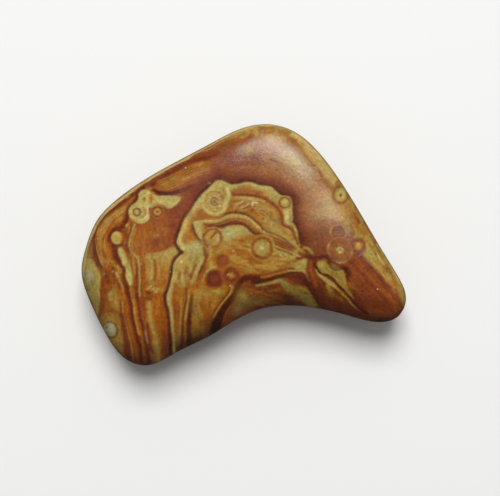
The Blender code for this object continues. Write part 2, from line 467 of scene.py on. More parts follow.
class Skin:
    """The stone's colour at each of its points, laid on coat by coat. Places, distances and widths are in
    millimetres on the sheet, turns are in degrees, and covers and strengths run from 0 to 1."""

    def __init__(self, places, ground, field):
        self.places = places
        self.colour = np.tile(PIGMENT[ground], (len(places), 1))
        self.field = field

    def near(self, line, reach):
        """Points within reach of a line's box."""
        low, high = line[:, :2].min(0) - reach, line[:, :2].max(0) + reach
        return np.flatnonzero(((self.places > low) & (self.places < high)).all(1))

    def offsets(self, chosen, line):
        """Signed distance of the chosen points from a line (over nought on its left), how far along it
        their nearest place lies, and the line's extra columns there. Then the line's whole length."""
        starts, ends = line[:-1], line[1:]
        runs = (ends - starts)[:, :2]
        squares = np.maximum((runs**2).sum(1), HAIR**2)
        reached = np.concatenate([[0], np.cumsum(np.sqrt(squares))])
        found = [np.zeros((0, line.shape[1]))]
        block = max(1, LINE_CHUNK // len(runs))
        for begin in range(0, len(chosen), block):
            away = self.places[chosen[begin : begin + block], None, :] - starts[None, :, :2]
            share = np.clip((away * runs).sum(2) / squares, 0, 1)
            gaps = away - share[..., None] * runs
            distance = (gaps**2).sum(2)
            nearest = distance.argmin(1)
            row = np.arange(len(nearest))
            gap, share = gaps[row, nearest], share[row, nearest]
            run = runs[nearest]
            side = np.sign(run[:, 0] * gap[:, 1] - run[:, 1] * gap[:, 0])
            along = reached[nearest] + share * np.sqrt(squares[nearest])
            extra = starts[nearest, 2:] + (ends - starts)[nearest, 2:] * share[:, None]
            found.append(np.column_stack([np.sqrt(distance[row, nearest]) * side, along, extra]))
        found = np.concatenate(found)
        return found[:, 0], found[:, 1], found[:, 2:], reached[-1]

    def beside(self, path, reach, ends):
        """Points within reach of a path, whose third column is its half width where it has one: their
        signed distances from its middle, places along it and distances past its half width. Then a
        cover that fades out over the given lengths at the path's two ends."""
        line = spline_through(path, False)
        chosen = self.near(line, line[:, 2:].max(initial=0) + reach)
        offset, along, half, length = self.offsets(chosen, line)
        past = np.maximum(np.abs(offset) - np.maximum(half.sum(1), 0), 0)
        fade = smooth_step(0, ends[0] + HAIR, along) * smooth_step(0, ends[1] + HAIR, length - along)
        return chosen, offset, along, past, fade

    def around(self, x, y, reach, turn):
        """Points within reach of a place, and where they lie from it along two turned axes."""
        chosen = self.near(np.array([[x, y]]), reach)
        dx, dy = (self.places[chosen] - (x, y)).T
        cosine, sine = math.cos(math.radians(turn)), math.sin(math.radians(turn))
        return chosen, dx * cosine + dy * sine, dy * cosine - dx * sine

    def coat(self, chosen, colour, cover):
        """Blends a colour over the chosen points by their cover."""
        self.colour[chosen] += (colour - self.colour[chosen]) * cover[:, None]

    def graded(self, chosen, position, stops, strength):
        """A coat whose colour and cover run through stops: (position, mineral, cover)."""
        at, minerals, covers = zip(*listed(stops))
        shades = np.array([PIGMENT[mineral] for mineral in minerals])
        colour = np.column_stack([np.interp(position, at, channel) for channel in shades.T])
        self.coat(chosen, colour, np.interp(position, at, covers) * strength)

    def bands(self, guide, stops, ends=(0.4, 0.4)):
        """Bands along a guide line: stops are (distance to its left, mineral, cover), in rising order."""
        stops = listed(stops)
        reach = max(abs(stops[0][0]), abs(stops[-1][0]))
        chosen, offset, _, _, fade = self.beside(guide, reach, ends)
        self.graded(chosen, offset, stops, fade)

    def stroke(self, mineral, path, soft=0.1, strength=1.0, ends=(0.2, 0.2)):
        """A line of one mineral. Past the path's half width its cover falls as a bell curve of the given
        softness, or of two, left and right."""
        soft = soft if isinstance(soft, tuple) else (soft, soft)
        chosen, offset, _, past, fade = self.beside(path, BELL_REACH * max(soft), ends)
        cover = bell(past, np.where(offset > 0, *soft))
        self.coat(chosen, PIGMENT[mineral], cover * fade * strength)

    def patch(self, mineral, outline, soft, strength=1.0):
        """A closed patch of one mineral, whose edge fades over twice its softness."""
        line = spline_through(outline, True)
        x, y = line[:-1, 0], line[:-1, 1]
        turned = np.sign((x * np.roll(y, -1) - y * np.roll(x, -1)).sum())
        chosen = self.near(line, soft)
        depth = self.offsets(chosen, line)[0] * turned
        self.coat(chosen, PIGMENT[mineral], smooth_step(-soft, soft, depth) * strength)

    def wash(self, mineral, x, y, wide, tall, turn, strength):
        """A soft blot: an ellipse whose cover falls as a bell curve."""
        chosen, u, v = self.around(x, y, BELL_REACH * max(wide, tall), turn)
        self.coat(chosen, PIGMENT[mineral], strength * np.exp(-((u / wide) ** 2 + (v / tall) ** 2)))

    def washes(self, blots):
        """Washes one after another: each row has the mineral, place, two radii, turn and strength."""
        for blot in listed(blots):
            self.wash(*blot)

    def orb(self, x, y, stops, tall=1.0, turn=0.0):
        """Rings round a middle: stops are (radius, mineral, cover). Tall stretches it along turn + 90."""
        stops = listed(stops)
        chosen, u, v = self.around(x, y, stops[-1][0] * max(tall, 1), turn)
        self.graded(chosen, np.hypot(u, v / tall), stops, 1.0)

    def streaks(self, guide, low, high, dark, light, size=0.12, strength=0.5, ends=(0.4, 0.4), stretch=9):
        """Fine fibres along a guide line, between two distances to its left: a random field that is
        drawn out along the line turns the ground darker or lighter."""
        chosen, offset, along, _, fade = self.beside(guide, max(abs(low), abs(high)), ends)
        fade = fade * smooth_step(low, low + STREAK_EDGE, offset)
        fade = fade * smooth_step(-high, STREAK_EDGE - high, -offset) * strength
        start = listed(guide)[0][0]
        drawn = np.column_stack([offset, along / stretch, np.full(len(offset), start)]) + STREAK_START
        value = np.clip(self.field.rough(drawn, size, 2) * STREAK_CONTRAST, -1, 1)
        self.coat(chosen, PIGMENT[dark], fade * np.maximum(value, 0))
        self.coat(chosen, PIGMENT[light], fade * np.maximum(-value, 0))

    def stripes(self, mineral, guide, offsets, half, soft, ends, strength):
        """Several thin lines that run along a guide line at offsets to its left."""
        reach = max(map(abs, offsets)) + half + BELL_REACH * soft
        chosen, offset, _, _, fade = self.beside(guide, reach, ends)
        for place in offsets:
            past = np.maximum(np.abs(offset - place) - half, 0)
            self.coat(chosen, PIGMENT[mineral], strength * fade * bell(past, soft))

    def seam(self, path, side, halo, shades=("plum", "umber", "rust"), ends=(0.3, 0.3), strength=1.0):
        """A dark seam whose one edge is sharp. From the other, at its left (side 1) or right (side -1),
        it bleeds away through the shades over the halo's width."""
        chosen, offset, _, past, fade = self.beside(path, halo, ends)
        place = np.where(offset * side > 0, past / halo, -past / SHARP)
        core, middle, outer = shades
        stops = [(-1, core, 0), (0, core, 1), (0.12, core, 0.95), (0.4, middle, 0.85), (0.7, outer, 0.6)]
        self.graded(chosen, place, stops + [(1, outer, 0)], fade * strength)


def stain_ground(skin):
    """Broad stains that lie under every other marking."""
    sweep = (
        "-4.2 8.9, -2 11, 2.5 13, 7 12, 11 7.5, 15 1, 12.6 -1.2, 10.6 -2.2, 8.4 -1.2, 6.2 0.2, 5.4 2.2,"
        "5 5.2, 3 6.4, 0 7, -2.6 7.4"
    )
    skin.patch("clay", sweep, 0.6, 0.9)
    skin.washes(
        "rust 0.2 7.7 5 0.9 4 0.6, mauve -2.2 9 3.5 0.8 20, mauve 4.5 6.8 3.5 1.5 -35,"
        "tan 5 9.2 3.6 2.2 -35 0.7, tan 6.5 4 1.6 2 0 0.6"
    )


def stain_west_flow(skin):
    """Gold and orange bands that flow along the west rim, between a dark band and a plum seam."""
    guide = (
        "-13.7 -3.4, -14.2 -2.5, -14.7 -1.6, -14.95 -0.6, -15 0.4, -14.85 1.3, -14.4 2.2, -13.6 3.15,"
        "-12.4 4.05, -11.3 4.85, -10.3 5.7, -9.3 6.5"
    )
    outline = (
        "-15 0.4, -14.8 1.5, -14 2.8, -12.4 4, -11 4.9, -10.9 4.4, -11.6 3.7, -11.8 2.4, -12.8 1.8,"
        "-13.3 1.2, -13.3 0, -12.8 -1.4, -13 -2.4, -13.9 -2.6, -14.8 -1.2"
    )
    skin.patch("orange", outline, 0.2)
    stops = (
        "-2.2 rust 0, -1.85 rust 0.9, -1.5 orange 0.7, -1.2 gold 0.6, -0.9 orange, -0.65 tan 0.8,"
        "-0.4 khaki 0.7, -0.25 ochre 0.9, -0.1 rust 1, 0.05 umber 0.9, 0.25 brick 1, 0.45 umber 0.8,"
        "0.7 rust 1, 1 ochre 0.9, 1.6 khaki 0.8, 2.6 olive 0"
    )
    skin.bands(guide, stops, (0.8, 0.8))
    skin.streaks(guide, -2, 0, "rust", "gold", 0.11, 0.6)
    skin.washes("khaki -13.75 2.5 0.45 0.22 50 0.7, gold -14.55 1.2 0.14 0.8 0 0.5")
    skin.stroke("gold", "-12.9 2.2 0.04, -12.5 2.7 0.06, -12 3.05 0.03", 0.1, 0.8)
    skin.stroke("gold", "-12.6 2.2 0.02, -12.3 2.6 0.03, -11.95 2.85 0.02", 0.07, 0.6)
    skin.stroke("rust", "-13.2 1.7 0.1, -12.7 2 0.12, -12.2 2.3 0.1", 0.2, 0.6)
    skin.stroke("tan", "-14.5 -0.8 0.02, -14.4 -1.3 0.03, -14.2 -1.7 0.02", 0.1, 0.6)
    skin.stroke("tan", "-13.95 -1.1 0.03, -13.8 -1.6 0.05, -13.5 -2 0.02", 0.1, 0.6)
    skin.stroke("tan", "-13.65 0 0.02, -13.6 -0.6 0.03, -13.5 -1.2 0.02", 0.08, 0.5)
    skin.stroke("orange", "-13.4 0.2 0.08, -13.35 -0.6 0.1, -13.2 -1.4 0.08", 0.15, 0.7)
    skin.washes("rust -13.4 -2.3 0.5 0.4 -20 0.8")
    path = "-15.9 1 0.1, -15.8 0.4 0.15, -15.75 -0.5 0.2, -15.7 -1.3 0.3, -15.7 -2"
    skin.stroke("olive", path, 0.16, 0.9)
    skin.stroke("brick", "-15.4 0.8 0.08, -15.35 0 0.12, -15.3 -0.9 0.1", 0.12, 0.9)
    skin.stroke("clay", "-15.22 0.3 0.03, -15.17 -0.1 0.06, -15.25 -0.8 0.03", 0.08, 0.9)
    skin.stroke("gold", "-15.3 -1.3 0.05, -15.25 -1.65 0.1, -15 -1.95 0.05", 0.14, 0.7)
    course = (
        "-15.05 0.5 0.06, -15 -0.1 0.1, -14.9 -0.7 0.13, -14.72 -1.3 0.15, -14.45 -1.9 0.16,"
        "-14.15 -2.35 0.13, -13.85 -2.75 0.05"
    )
    skin.seam(course, -1, 0.3, ("umber", "brick", "rust"))
    skin.washes(
        "tan -11.6 4.95 0.22 0.12 35 0.9, orange -11.3 4.3 0.32 0.12 45, brick -9.6 6.2 0.7 0.3 35 0.7"
    )


def stain_west_edge(skin):
    """Olive ground along the west rim, with two pale discs and a brown column beside it."""
    column = (
        "-14.5 -2.3, -13.7 -2.3, -12.8 -1.8, -12.2 -2.2, -12.1 -4, -11.9 -6, -11.6 -9, -11.4 -13, -16 -13,"
        "-15.6 -8, -14.7 -5"
    )
    skin.patch("rust", column, 0.3)
    skin.streaks("-13.6 -1.9, -13.5 -4, -13.2 -7, -12.4 -12", -1.9, 1.3, "brick", "orange", 0.16, 0.8)
    skin.washes("ochre -13.7 -6.2 0.6 1.2 -12 0.7, orange -13.6 -4.3 0.3 1 -5 0.5")
    outline = (
        "-17.5 -1.2, -15.5 -1.3, -15.1 -1.6, -14.75 -2.1, -14.45 -2.7, -14.35 -3.4, -14.35 -4.4,"
        "-14.4 -5.4, -14.55 -6.6, -14.9 -7.6, -18.5 -7.6"
    )
    skin.patch("khaki", outline, 0.16)
    # The dark wash at the west rim's southern end is painted shade.
    skin.washes(
        "cream -15.3 -3.9 0.8 1.8 0 0.5, olive -15 -3.6 0.25 0.5 -20 0.6, olive -14.7 -5.6 0.3 1.2 10 0.7,"
        "umber -15.6 -4.3 0.3 0.4 30 0.4, soot -15.5 -5.9 0.4 1 25 0.3"
    )
    skin.stroke("rust", "-14.15 -3 0.06, -14.15 -4.5 0.1, -14.2 -6 0.14, -14.4 -7.4 0.1", 0.14)
    skin.stroke("umber", "-13.75 -2.5 0.06, -13.7 -3.2 0.1, -13.5 -4 0.06", 0.2, 0.6)
    lozenge = "-12.75 -1.85, -12.45 -1.75, -12.2 -2.1, -12.2 -2.6, -12.45 -2.75, -12.7 -2.3"
    skin.patch("khaki", lozenge, 0.1, 0.85)
    skin.stroke("rust", "-12.5 -1.9 0.02, -12.42 -2.3 0.04, -12.5 -2.7 0.02", 0.06, 0.6)
    for mineral, path in (
        ("orange", "-13 -1.2 0.03, -12.95 -1.9 0.05, -12.75 -2.5, -12.5 -3 0.04"),
        ("khaki", "-12.85 -2.5 0.02, -12.68 -2.9 0.08, -12.45 -3.35 0.05, -12.3 -3.8 0.02"),
        ("gold", "-12.55 -3.3 0.02, -12.25 -3.9 0.04, -12 -4.6 0.05, -11.85 -5.4 0.03"),
        ("brick", "-12.35 -3 0.03, -12.1 -3.6 0.05, -11.9 -4.4, -11.75 -5.2 0.04"),
        ("orange", "-12.3 -4.3 0.02, -12.1 -5 0.05, -12.1 -5.8 0.04"),
        ("gold", "-13.1 -1.3 0.03, -13 -1.8 0.04, -12.9 -2.2 0.02"),
    ):
        skin.stroke(mineral, path, 0.09, 0.85)
    blob = (
        "-12.95 -3.95, -12.7 -4.3, -12.45 -4.9, -12.35 -5.6, -12.5 -6.4, -12.9 -6.3, -13.3 -5.8,"
        "-13.5 -5.1, -13.3 -4.5"
    )
    skin.patch("olive", blob, 0.26, 0.8)
    skin.washes("gold -12.85 -5.5 0.35 0.7 0 0.8, ochre -12.5 -5.2 0.14 0.6 0 0.7")
    skin.stroke("khaki", "-13.3 -4.5 0.03, -13.4 -5 0.07, -13.25 -5.6 0.04", 0.12, 0.9)
    skin.washes("clay -12.65 -4.55 0.12 0.12 0 0.6, rust -12.6 -6.7 0.5 0.2 30 0.5")
    rings = (
        "0 olive 0, 0.55 umber 0.2, 0.68 umber 0.7, 0.8 olive 0.8, 0.95 gold, 1.08 ochre, 1.2 gold,"
        "1.32 ochre, 1.45 gold 0.5, 1.6 rust 0.6, 1.9 rust 0"
    )
    skin.orb(-13.35, -8.4, rings, 1.15, 10)
    skin.orb(-13.4, -8.35, "0 sage 1, 0.4, 0.56 sage 0.8, 0.66 olive 0", 1.2, 15)
    # The dark wash at the south-west foot, by the rim, is painted shade.
    skin.washes(
        "pearl -13.4 -8.25 0.42 0.5 15 0.6, soot -13.7 -8.1 0.1 0.12 0 0.8, olive -13.1 -7 0.8 0.4 20 0.5,"
        "soot -13.3 -10.6 0.8 0.4 -50 0.35, khaki -12.4 -9.9 0.9 0.9 10 0.6"
    )
    disc = "0 cream 1, 0.14 sage, 0.3, 0.4 sage 0.7, 0.5 olive 0"
    skin.orb(-15.6, -2.95, disc, 1.6, 10)
    skin.washes(
        "pearl -15.55 -2.95 0.3 0.5 10 0.45, soot -15.9 -2.2 0.3 0.1 20 0.3,"
        "sage -13.12 -2.55 0.11 0.12 0 0.8, sage -13.95 -2.8 0.1 0.08 20 0.7"
    )


def stain_west_columns(skin):
    """Columns of brown, brick and gold that run down the west lobe to its foot."""
    ground = (
        "-12.1 -2, -11.3 1.5, -10.5 2.4, -9.4 2.8, -8.6 4.2, -6.4 4.4, -5.2 4.4, -6.8 0.6, -6.8 -1.4,"
        "-7.6 -4, -7.8 -6, -7.4 -8, -7.2 -14, -11.4 -14, -11.4 -6"
    )
    skin.patch("rust", ground, 0.2)
    skin.washes(
        "orange -9.7 0.9 1.4 1.8 0 0.95, ochre -10.3 0.2 0.4 1.2 0 0.6, orange -8.6 2 1.6 0.8 10 0.5,"
        "brick -8.6 0.4 1.7 0.5 5 0.6, brick -7 2.3 0.5 1.4 -15 0.8, rust -6.6 3.6 0.6 0.6 30"
    )
    fall = "-10.3 2.6, -10.3 0, -9.3 -3.5, -9.3 -7, -8.9 -12"
    skin.streaks("-9.6 3.2, -9.2 1.4, -8.7 -0.4", -2.4, 1.6, "brick", "ochre", 0.2, 0.4)
    skin.stroke("khaki", "-9.1 0.9 0.02, -8.75 1.05 0.04, -8.5 0.95 0.01", 0.12, 0.5)
    skin.orb(-7.85, 1.6, "0 soot 0.5, 0.12 olive, 0.25 orange 0.4, 0.4 rust 0")
    ledge = (
        "-9.75 -0.9, -9.2 -0.75, -8.4 -0.55, -7.6 -0.3, -6.95 -0.05, -6.65 -0.2, -6.6 -0.8, -6.9 -1.3,"
        "-7.15 -2.2, -7.4 -3.4, -7.6 -4.4, -8.6 -4.6, -9.5 -3.6"
    )
    skin.patch("khaki", ledge, 0.16, 0.9)
    skin.washes(
        "ochre -8.3 -2.6 1 0.9 0 0.8, orange -9 -2.4 1 1.2 0 0.55, orange -8 -3.6 0.9 0.8 0 0.8,"
        "orange -8.6 -5.2 0.7 1.4, orange -8.5 -7.4 0.5 1.8 0 0.9, rust -8.1 -8.6 0.3 1.6 0 0.7,"
        "olive -8.9 -10.4 0.5 1.2 0 0.5, clay -7 -1.3 0.25 0.35 20"
    )
    skin.streaks(fall, -2.2, 1, "rust", "gold", 0.15, 0.45, (2.5, 0.4))
    for mineral, path in (
        ("khaki", "-9.55 -0.9 0.03, -9.3 -1.4 0.06, -9.2 -2.2 0.05, -9.2 -2.9 0.06, -9.35 -3.5 0.02"),
        ("gold", "-9.9 -0.9 0.05, -9.75 -2 0.08, -9.75 -3.4 0.05"),
        ("gold", "-8.6 -1.4 0.03, -8.5 -2.4 0.05, -8.6 -3.4 0.03"),
        ("rust", "-8.9 -1.2 0.03, -8.85 -2.4 0.06, -8.95 -3.6 0.04"),
        ("brick", "-10.2 -1.6 0.03, -10.08 -2.8 0.06, -10.12 -4.3, -10.1 -5.4 0.03"),
        ("orange", "-9.95 -3 0.04, -9.9 -4 0.06, -10 -5.2 0.05"),
    ):
        skin.stroke(mineral, path, 0.1, 0.85)
    skin.washes("rust -9.75 -3.9 0.3 0.14 10 0.8, gold -9.4 -4.2 0.36 0.2 -10 0.9")
    for x, y, size in listed(
        "-9.62 -4.28 0.09, -9.35 -4.02 0.1, -9.1 -4.35 0.11, -8.8 -4.55 0.12, -8.55 -4.3 0.1"
    ):
        skin.wash("cream", x, y, 1.5 * size, size, 20, 0.85)
    skin.stroke("umber", "-9.9 -4.45 0.02, -9.6 -4.7 0.06, -9.25 -4.72 0.02", 0.07, 0.8)
    skin.stroke("brick", "-9.35 -4.3 0.01, -9.2 -4.2 0.03, -9 -4.15 0.01", 0.05, 0.6)
    streak = (
        "-9.5 -5.4 0.05, -9.45 -6.5 0.1, -9.35 -7.3 0.12, -9.15 -8.2 0.1, -8.9 -9.1, -8.7 -10 0.08,"
        "-8.6 -10.8, -8.5 -14 0.06"
    )
    skin.stroke("gold", streak, 0.16, 0.9)
    skin.stroke("khaki", moved(streak, 0, thinner=3), 0.1, 0.6)
    skin.stroke("ochre", moved(streak, 0.34, thinner=3), 0.08, 0.6)
    maroon = (
        "-10.72 -2.3 0.02, -10.7 -3.2 0.05, -10.68 -4.2, -10.72 -4.9 0.04, -10.6 -5.8, -10.42 -6.7 0.05,"
        "-10.2 -7.6 0.06, -10.05 -8.6, -9.9 -9.6, -9.6 -10.6 0.07, -9.4 -14 0.08"
    )
    skin.stroke("brick", maroon, 0.16, 0.8)
    skin.stroke("umber", maroon, 0.07, 0.9)
    skin.stroke("tan", "-9.85 -8.3 0.02, -9.85 -8.8 0.03, -9.75 -9.3, -9.5 -9.9 0.02", 0.08)
    skin.stroke("brick", "-9.6 -7.6 0.02, -9.65 -8.6 0.05, -9.45 -9.6, -9.1 -10.8 0.04", 0.1)
    for shift, mineral, width in listed("0.05 orange 0.04, 0.3 rust 0.05, 0.45 gold 0.02, 0.6 brick 0.04"):
        line = [(-11.75, -5.4, 0.01), (-11.65, -6.6, width), (-11.45, -7.7, width), (-11.25, -8.5, width)]
        line += [(-11.05, -9.3, width), (-10.75, -10.6, width), (-10.3, -14, width)]
        skin.stroke(mineral, moved(line, -shift), 0.09, 0.8)
    line = "-11.15 -5.2 0.02, -11 -6 0.04, -10.88 -7 0.05, -10.7 -8 0.04, -10.5 -9 0.03"
    skin.stroke("gold", line, 0.07, 0.95)
    skin.stroke("orange", moved(line, 0.2), 0.08, 0.8)
    skin.stroke("brick", "-12.2 -6.6 0.05, -12 -8.4 0.08, -11.6 -11 0.14, -11.3 -14 0.2", 0.18)
    # Painted shade: a dark wash along the south rim at the foot.
    skin.washes("soot -10.2 -11.9 2.2 0.6 -8 0.65")
    khaki_line = listed(
        "-10.78 2.3 0.03, -10.98 1.9, -11.2 1.3, -11.42 0.6 0.04, -11.42 -0.1, -11.22 -0.6 0.03,"
        "-10.92 -0.95, -10.62 -1.3, -10.47 -2, -10.42 -3, -10.42 -4, -10.45 -5.2 0.02"
    )
    stops = (
        "-0.5 brick 0, -0.3 brick 0.7, -0.15 rust 0.9, 0 gold 0.6, 0.1 rust 0.9, 0.2 brick 0.7,"
        "0.32 orange 0.8, 0.45 rust 0.6, 0.6 orange 0.5, 0.8 rust 0"
    )
    skin.bands(khaki_line, stops, (0.3, 0.8))
    skin.stroke("khaki", khaki_line, 0.06, 0.95)
    skin.stroke("gold", [(x + 0.24, y, 0.01) for x, y, _ in khaki_line[1:9]], 0.05, 0.8)
    skin.stroke("gold", "-11.15 -0.9 0.02, -11 -1.8 0.05, -10.95 -3 0.06", 0.1, 0.7)
    skin.stroke("khaki", "-11.9 1 0.02, -11.92 0.55 0.05, -11.8 0.1 0.02", 0.1, 0.7)
    skin.stroke("tan", "-11.62 0.2 0.01, -11.5 -0.5 0.03, -11.2 -1.1 0.02", 0.06, 0.7)
    skin.stroke("brick", "-11.7 0.5 0.04, -11.65 -0.2 0.07, -11.35 -0.9 0.08", 0.1, 0.8)
    plum_seam = (
        "-13.3 0.3 0.05, -13.05 -0.05 0.1, -12.9 -0.4 0.15, -12.8 -1 0.17, -12.5 -1.5 0.13,"
        "-12.25 -1.85 0.05, -12 -2.2, -11.95 -2.6 0.04, -12 -2.95, -11.9 -3.4 0.06, -11.74 -4 0.08,"
        "-11.57 -4.6 0.1, -11.42 -5.2, -11.3 -6 0.09, -11.15 -6.9 0.08, -10.98 -7.8, -10.82 -8.7 0.09,"
        "-10.6 -9.6, -10.35 -10.4 0.1, -10 -14 0.12"
    )
    skin.seam(plum_seam, -1, 0.35, ("umber", "brick", "rust"))
    cream_streak = (
        "-12.55 -0.15, -12.6 -0.4, -12.5 -0.9, -12.25 -1.35, -12.1 -1.8, -11.85 -2.1, -11.8 -2.6,"
        "-11.85 -2.95, -11.7 -3.4, -11.45 -3.9, -11.25 -3.7, -11.22 -3.2, -11.3 -2.6, -11.45 -2.1,"
        "-11.68 -1.5, -11.9 -0.9, -12.15 -0.35, -12.35 -0.1"
    )
    skin.patch("gold", moved(cream_streak, 0.12, -0.03), 0.12, 0.9)
    skin.patch("cream", cream_streak, 0.08, 0.95)
    skin.washes("khaki -11.6 -2.4 0.12 0.8 -10 0.7, gold -11.3 -4.3 0.12 0.3 10 0.8")
    disc = (
        "0 khaki 1, 0.35, 0.5 cream 0.9, 0.58 tan, 0.64 brick 0.8, 0.74 umber 0.7, 0.9 brick 0.5,"
        "1.1 rust 0"
    )
    skin.orb(-12.72, 0.82, disc, 1.1, 0)
    skin.stroke("gold", "-12.4 1.4 0.03, -12.3 0.9 0.07, -12.4 0.35 0.03", 0.1)
    skin.stroke("orange", "-12.2 1.4 0.02, -12.12 0.9 0.04, -12.25 0.3 0.02", 0.07)
    skin.stroke("rust", "-12 1.5 0.06, -11.95 0.9, -12.1 0.2 0.05", 0.1, 0.9)
    upper = (
        "-13.35 0.2 0.04, -13.42 0.8, -13.3 1.3 0.05, -12.95 1.65 0.06, -12.3 1.8 0.09, -11.9 2.15 0.13,"
        "-11.66 2.7 0.12, -11.62 3.3 0.06, -11.45 3.9 0.05, -11.05 4.3 0.06, -10.72 4.75 0.07, -10.65 5.25,"
        "-10.3 5.65 0.08, -9.7 5.85"
    )
    skin.seam(upper, 1, 0.38, ("umber", "brick", "rust"))
    skin.stroke("khaki", "-11.85 1.85 0.02, -11.68 2.05 0.05, -11.5 2.3 0.02", 0.07, 0.9)
    skin.stroke("gold", "-11.6 1.2 0.01, -11.5 1.7 0.03, -11.3 2.1 0.01", 0.06, 0.6)


def stain_cream_orbs(skin):
    """Cream ground with three ringed orbs, and the cream wedge east of them."""
    cream = (
        "-11.45 3.1, -11.5 3.6, -11.2 4.05, -10.75 4.35, -10.55 4.8, -10.55 5.2, -10.2 5.5, -9.6 5.55,"
        "-9.2 5.25, -9.15 4.7, -9.3 4.2, -9.55 3.6, -9.4 3, -9.6 2.5, -10.3 2.25, -10.85 2.45, -11.3 2.75"
    )
    skin.patch("rust", "-9.8 2.6, -9.4 4.2, -8.8 4.4, -7.8 3.7, -7.6 2.8, -8.6 2.3", 0.3, 0.8)
    skin.patch("cream", cream, 0.09)
    wedge = (
        "-9.25 5.15, -8.4 4.98, -7.5 5.03, -6.55 4.93, -6.35 4.68, -6.6 4.3, -7 3.95, -7.4 3.72, -7.8 3.87,"
        "-8.3 4.15, -8.9 4.05, -9.3 3.85, -9.4 4.4"
    )
    skin.patch("cream", wedge, 0.09)
    skin.washes(
        "khaki -10.9 3.9 0.4 0.3 30 0.6, khaki -8.9 4.6 0.4 0.3 0, gold -10 5.45 0.35 0.1,"
        "gold -10.95 2.6 0.25 0.12, ochre -6.5 4.95 0.5 0.14 -10, khaki -7 4.6 0.6 0.3 20 0.8"
    )
    skin.stroke("gold", "-8.9 4 0.03, -8.2 4.08 0.04, -7.4 3.66", 0.08, 0.8)
    rings = (
        "0 cream 1, 0.14 tan 0.8, 0.2 cream 0.9, 0.28 brick 0.95, 0.36 brick 0.9, 0.44 khaki 0.7,"
        "0.65 cream 0.3, 0.8 cream 0"
    )
    skin.orb(-10.68, 3.38, rings, 1.05)
    skin.stroke("gold", "-10.2 4 0.02, -9.93 3.6 0.05, -9.95 3.1, -10.3 2.75 0.02", 0.08)
    skin.stroke("clay", "-9.85 3.8 0.01, -9.75 3.35 0.02, -9.9 2.9 0.01", 0.05, 0.7)
    skin.stroke("pearl", "-9.7 4.05 0.01, -9.6 3.5 0.03, -9.7 3 0.04, -10.1 2.6 0.02", 0.07, 0.5)
    rings = "0 brick 1, 0.1 clay 0.9, 0.2 khaki 0.6, 0.45 cream 0.5, 0.52 gold, 0.62 khaki 0"
    skin.orb(-9.95, 4.72, rings)
    skin.stroke("gold", "-9.6 5.25 0.02, -9.4 4.8 0.05, -9.5 4.3 0.02", 0.07, 0.9)
    skin.stroke("orange", "-9.4 5.3 0.02, -9.2 4.8 0.06, -9.35 4.2 0.03", 0.08, 0.85)
    skin.stroke("pearl", "-9.5 4.1 0.01, -9.35 3.9 0.03, -9.2 4.1 0.01", 0.06, 0.4)
    rings = (
        "0 umber 1, 0.07 brick 0.9, 0.14 gold 1, 0.3, 0.36 orange 0.9, 0.45 brick 0.95, 0.56 rust 0.8,"
        "0.62 gold 0.5, 0.75 rust, 1 rust 0"
    )
    skin.orb(-8.67, 3.4, rings)


def stain_lens(skin):
    """A striped gold and orange lens under the north-west rim, and the bands outside it."""
    lens = (
        "-9.1 5.65, -8 5.45, -7 5.55, -6 5.85, -5.2 6.15, -4.4 6.55, -3.8 7.05, -3.2 7.7, -3.1 8.3,"
        "-4 8.55, -5 8.4, -6 7.95, -6.8 7.4, -7.6 7, -8.4 6.5"
    )
    outside = "-9.7 5.9, -8.8 6.5, -7.9 7, -7 7.5, -6.1 8.1, -5 8.6, -3.6 9, -2.4 9.6, -1 10.4"
    stops = (
        "-0.4 brick 0.6, -0.15 umber 1, 0.1 brick, 0.35 rust, 0.5 clay, 0.62 tan 0.9, 0.75 rust,"
        "1 orange 0.8, 1.5 khaki 0.9, 2.4 khaki 0.6, 3.2 khaki 0"
    )
    skin.bands(outside, stops, (0.6, 1.6))
    skin.patch("rust", lens, 0.14)
    skin.washes("orange -5.6 7 2 0.5 27 0.8, orange -7.6 6 1 0.3 10 0.7")
    grain = "-8.9 5.9, -8 6.1, -7 6.5, -6 7, -5 7.5, -4 7.8, -3.2 7.9"
    skin.stripes("gold", grain, (-0.55, -0.32, -0.1, 0.12, 0.34, 0.56), 0.03, 0.07, (0.6, 0.4), 0.5)
    skin.stripes("brick", grain, (-0.66, -0.43, -0.21, 0.01, 0.23, 0.45, 0.66), 0.02, 0.06, (0.6, 0.4), 0.45)
    skin.washes(
        "olive -7.1 6.7 0.55 0.2 27 0.8, olive -7.8 6.3 0.3 0.14 30 0.7, gold -5.7 6.8 0.7 0.14 22 0.6,"
        "gold -4.2 8.2 0.8 0.16 5 0.7, gold -4.2 7.5 0.7 0.14 18"
    )
    under = (
        "-9.3 5.7 0.04, -8.6 5.35 0.08, -8 5.25 0.1, -7.3 5.25, -6.6 5.4 0.12, -6 5.6, -5.4 5.8,"
        "-4.8 5.95 0.1, -4.2 6.2, -3.6 6.6"
    )
    skin.seam(under, 1, 0.3, ("plum", "umber", "rust"), (0.4, 0.8))
    skin.washes("umber -5 5.5 0.6 0.4 30 0.9, brick -5.8 5.05 0.7 0.35 20 0.8")


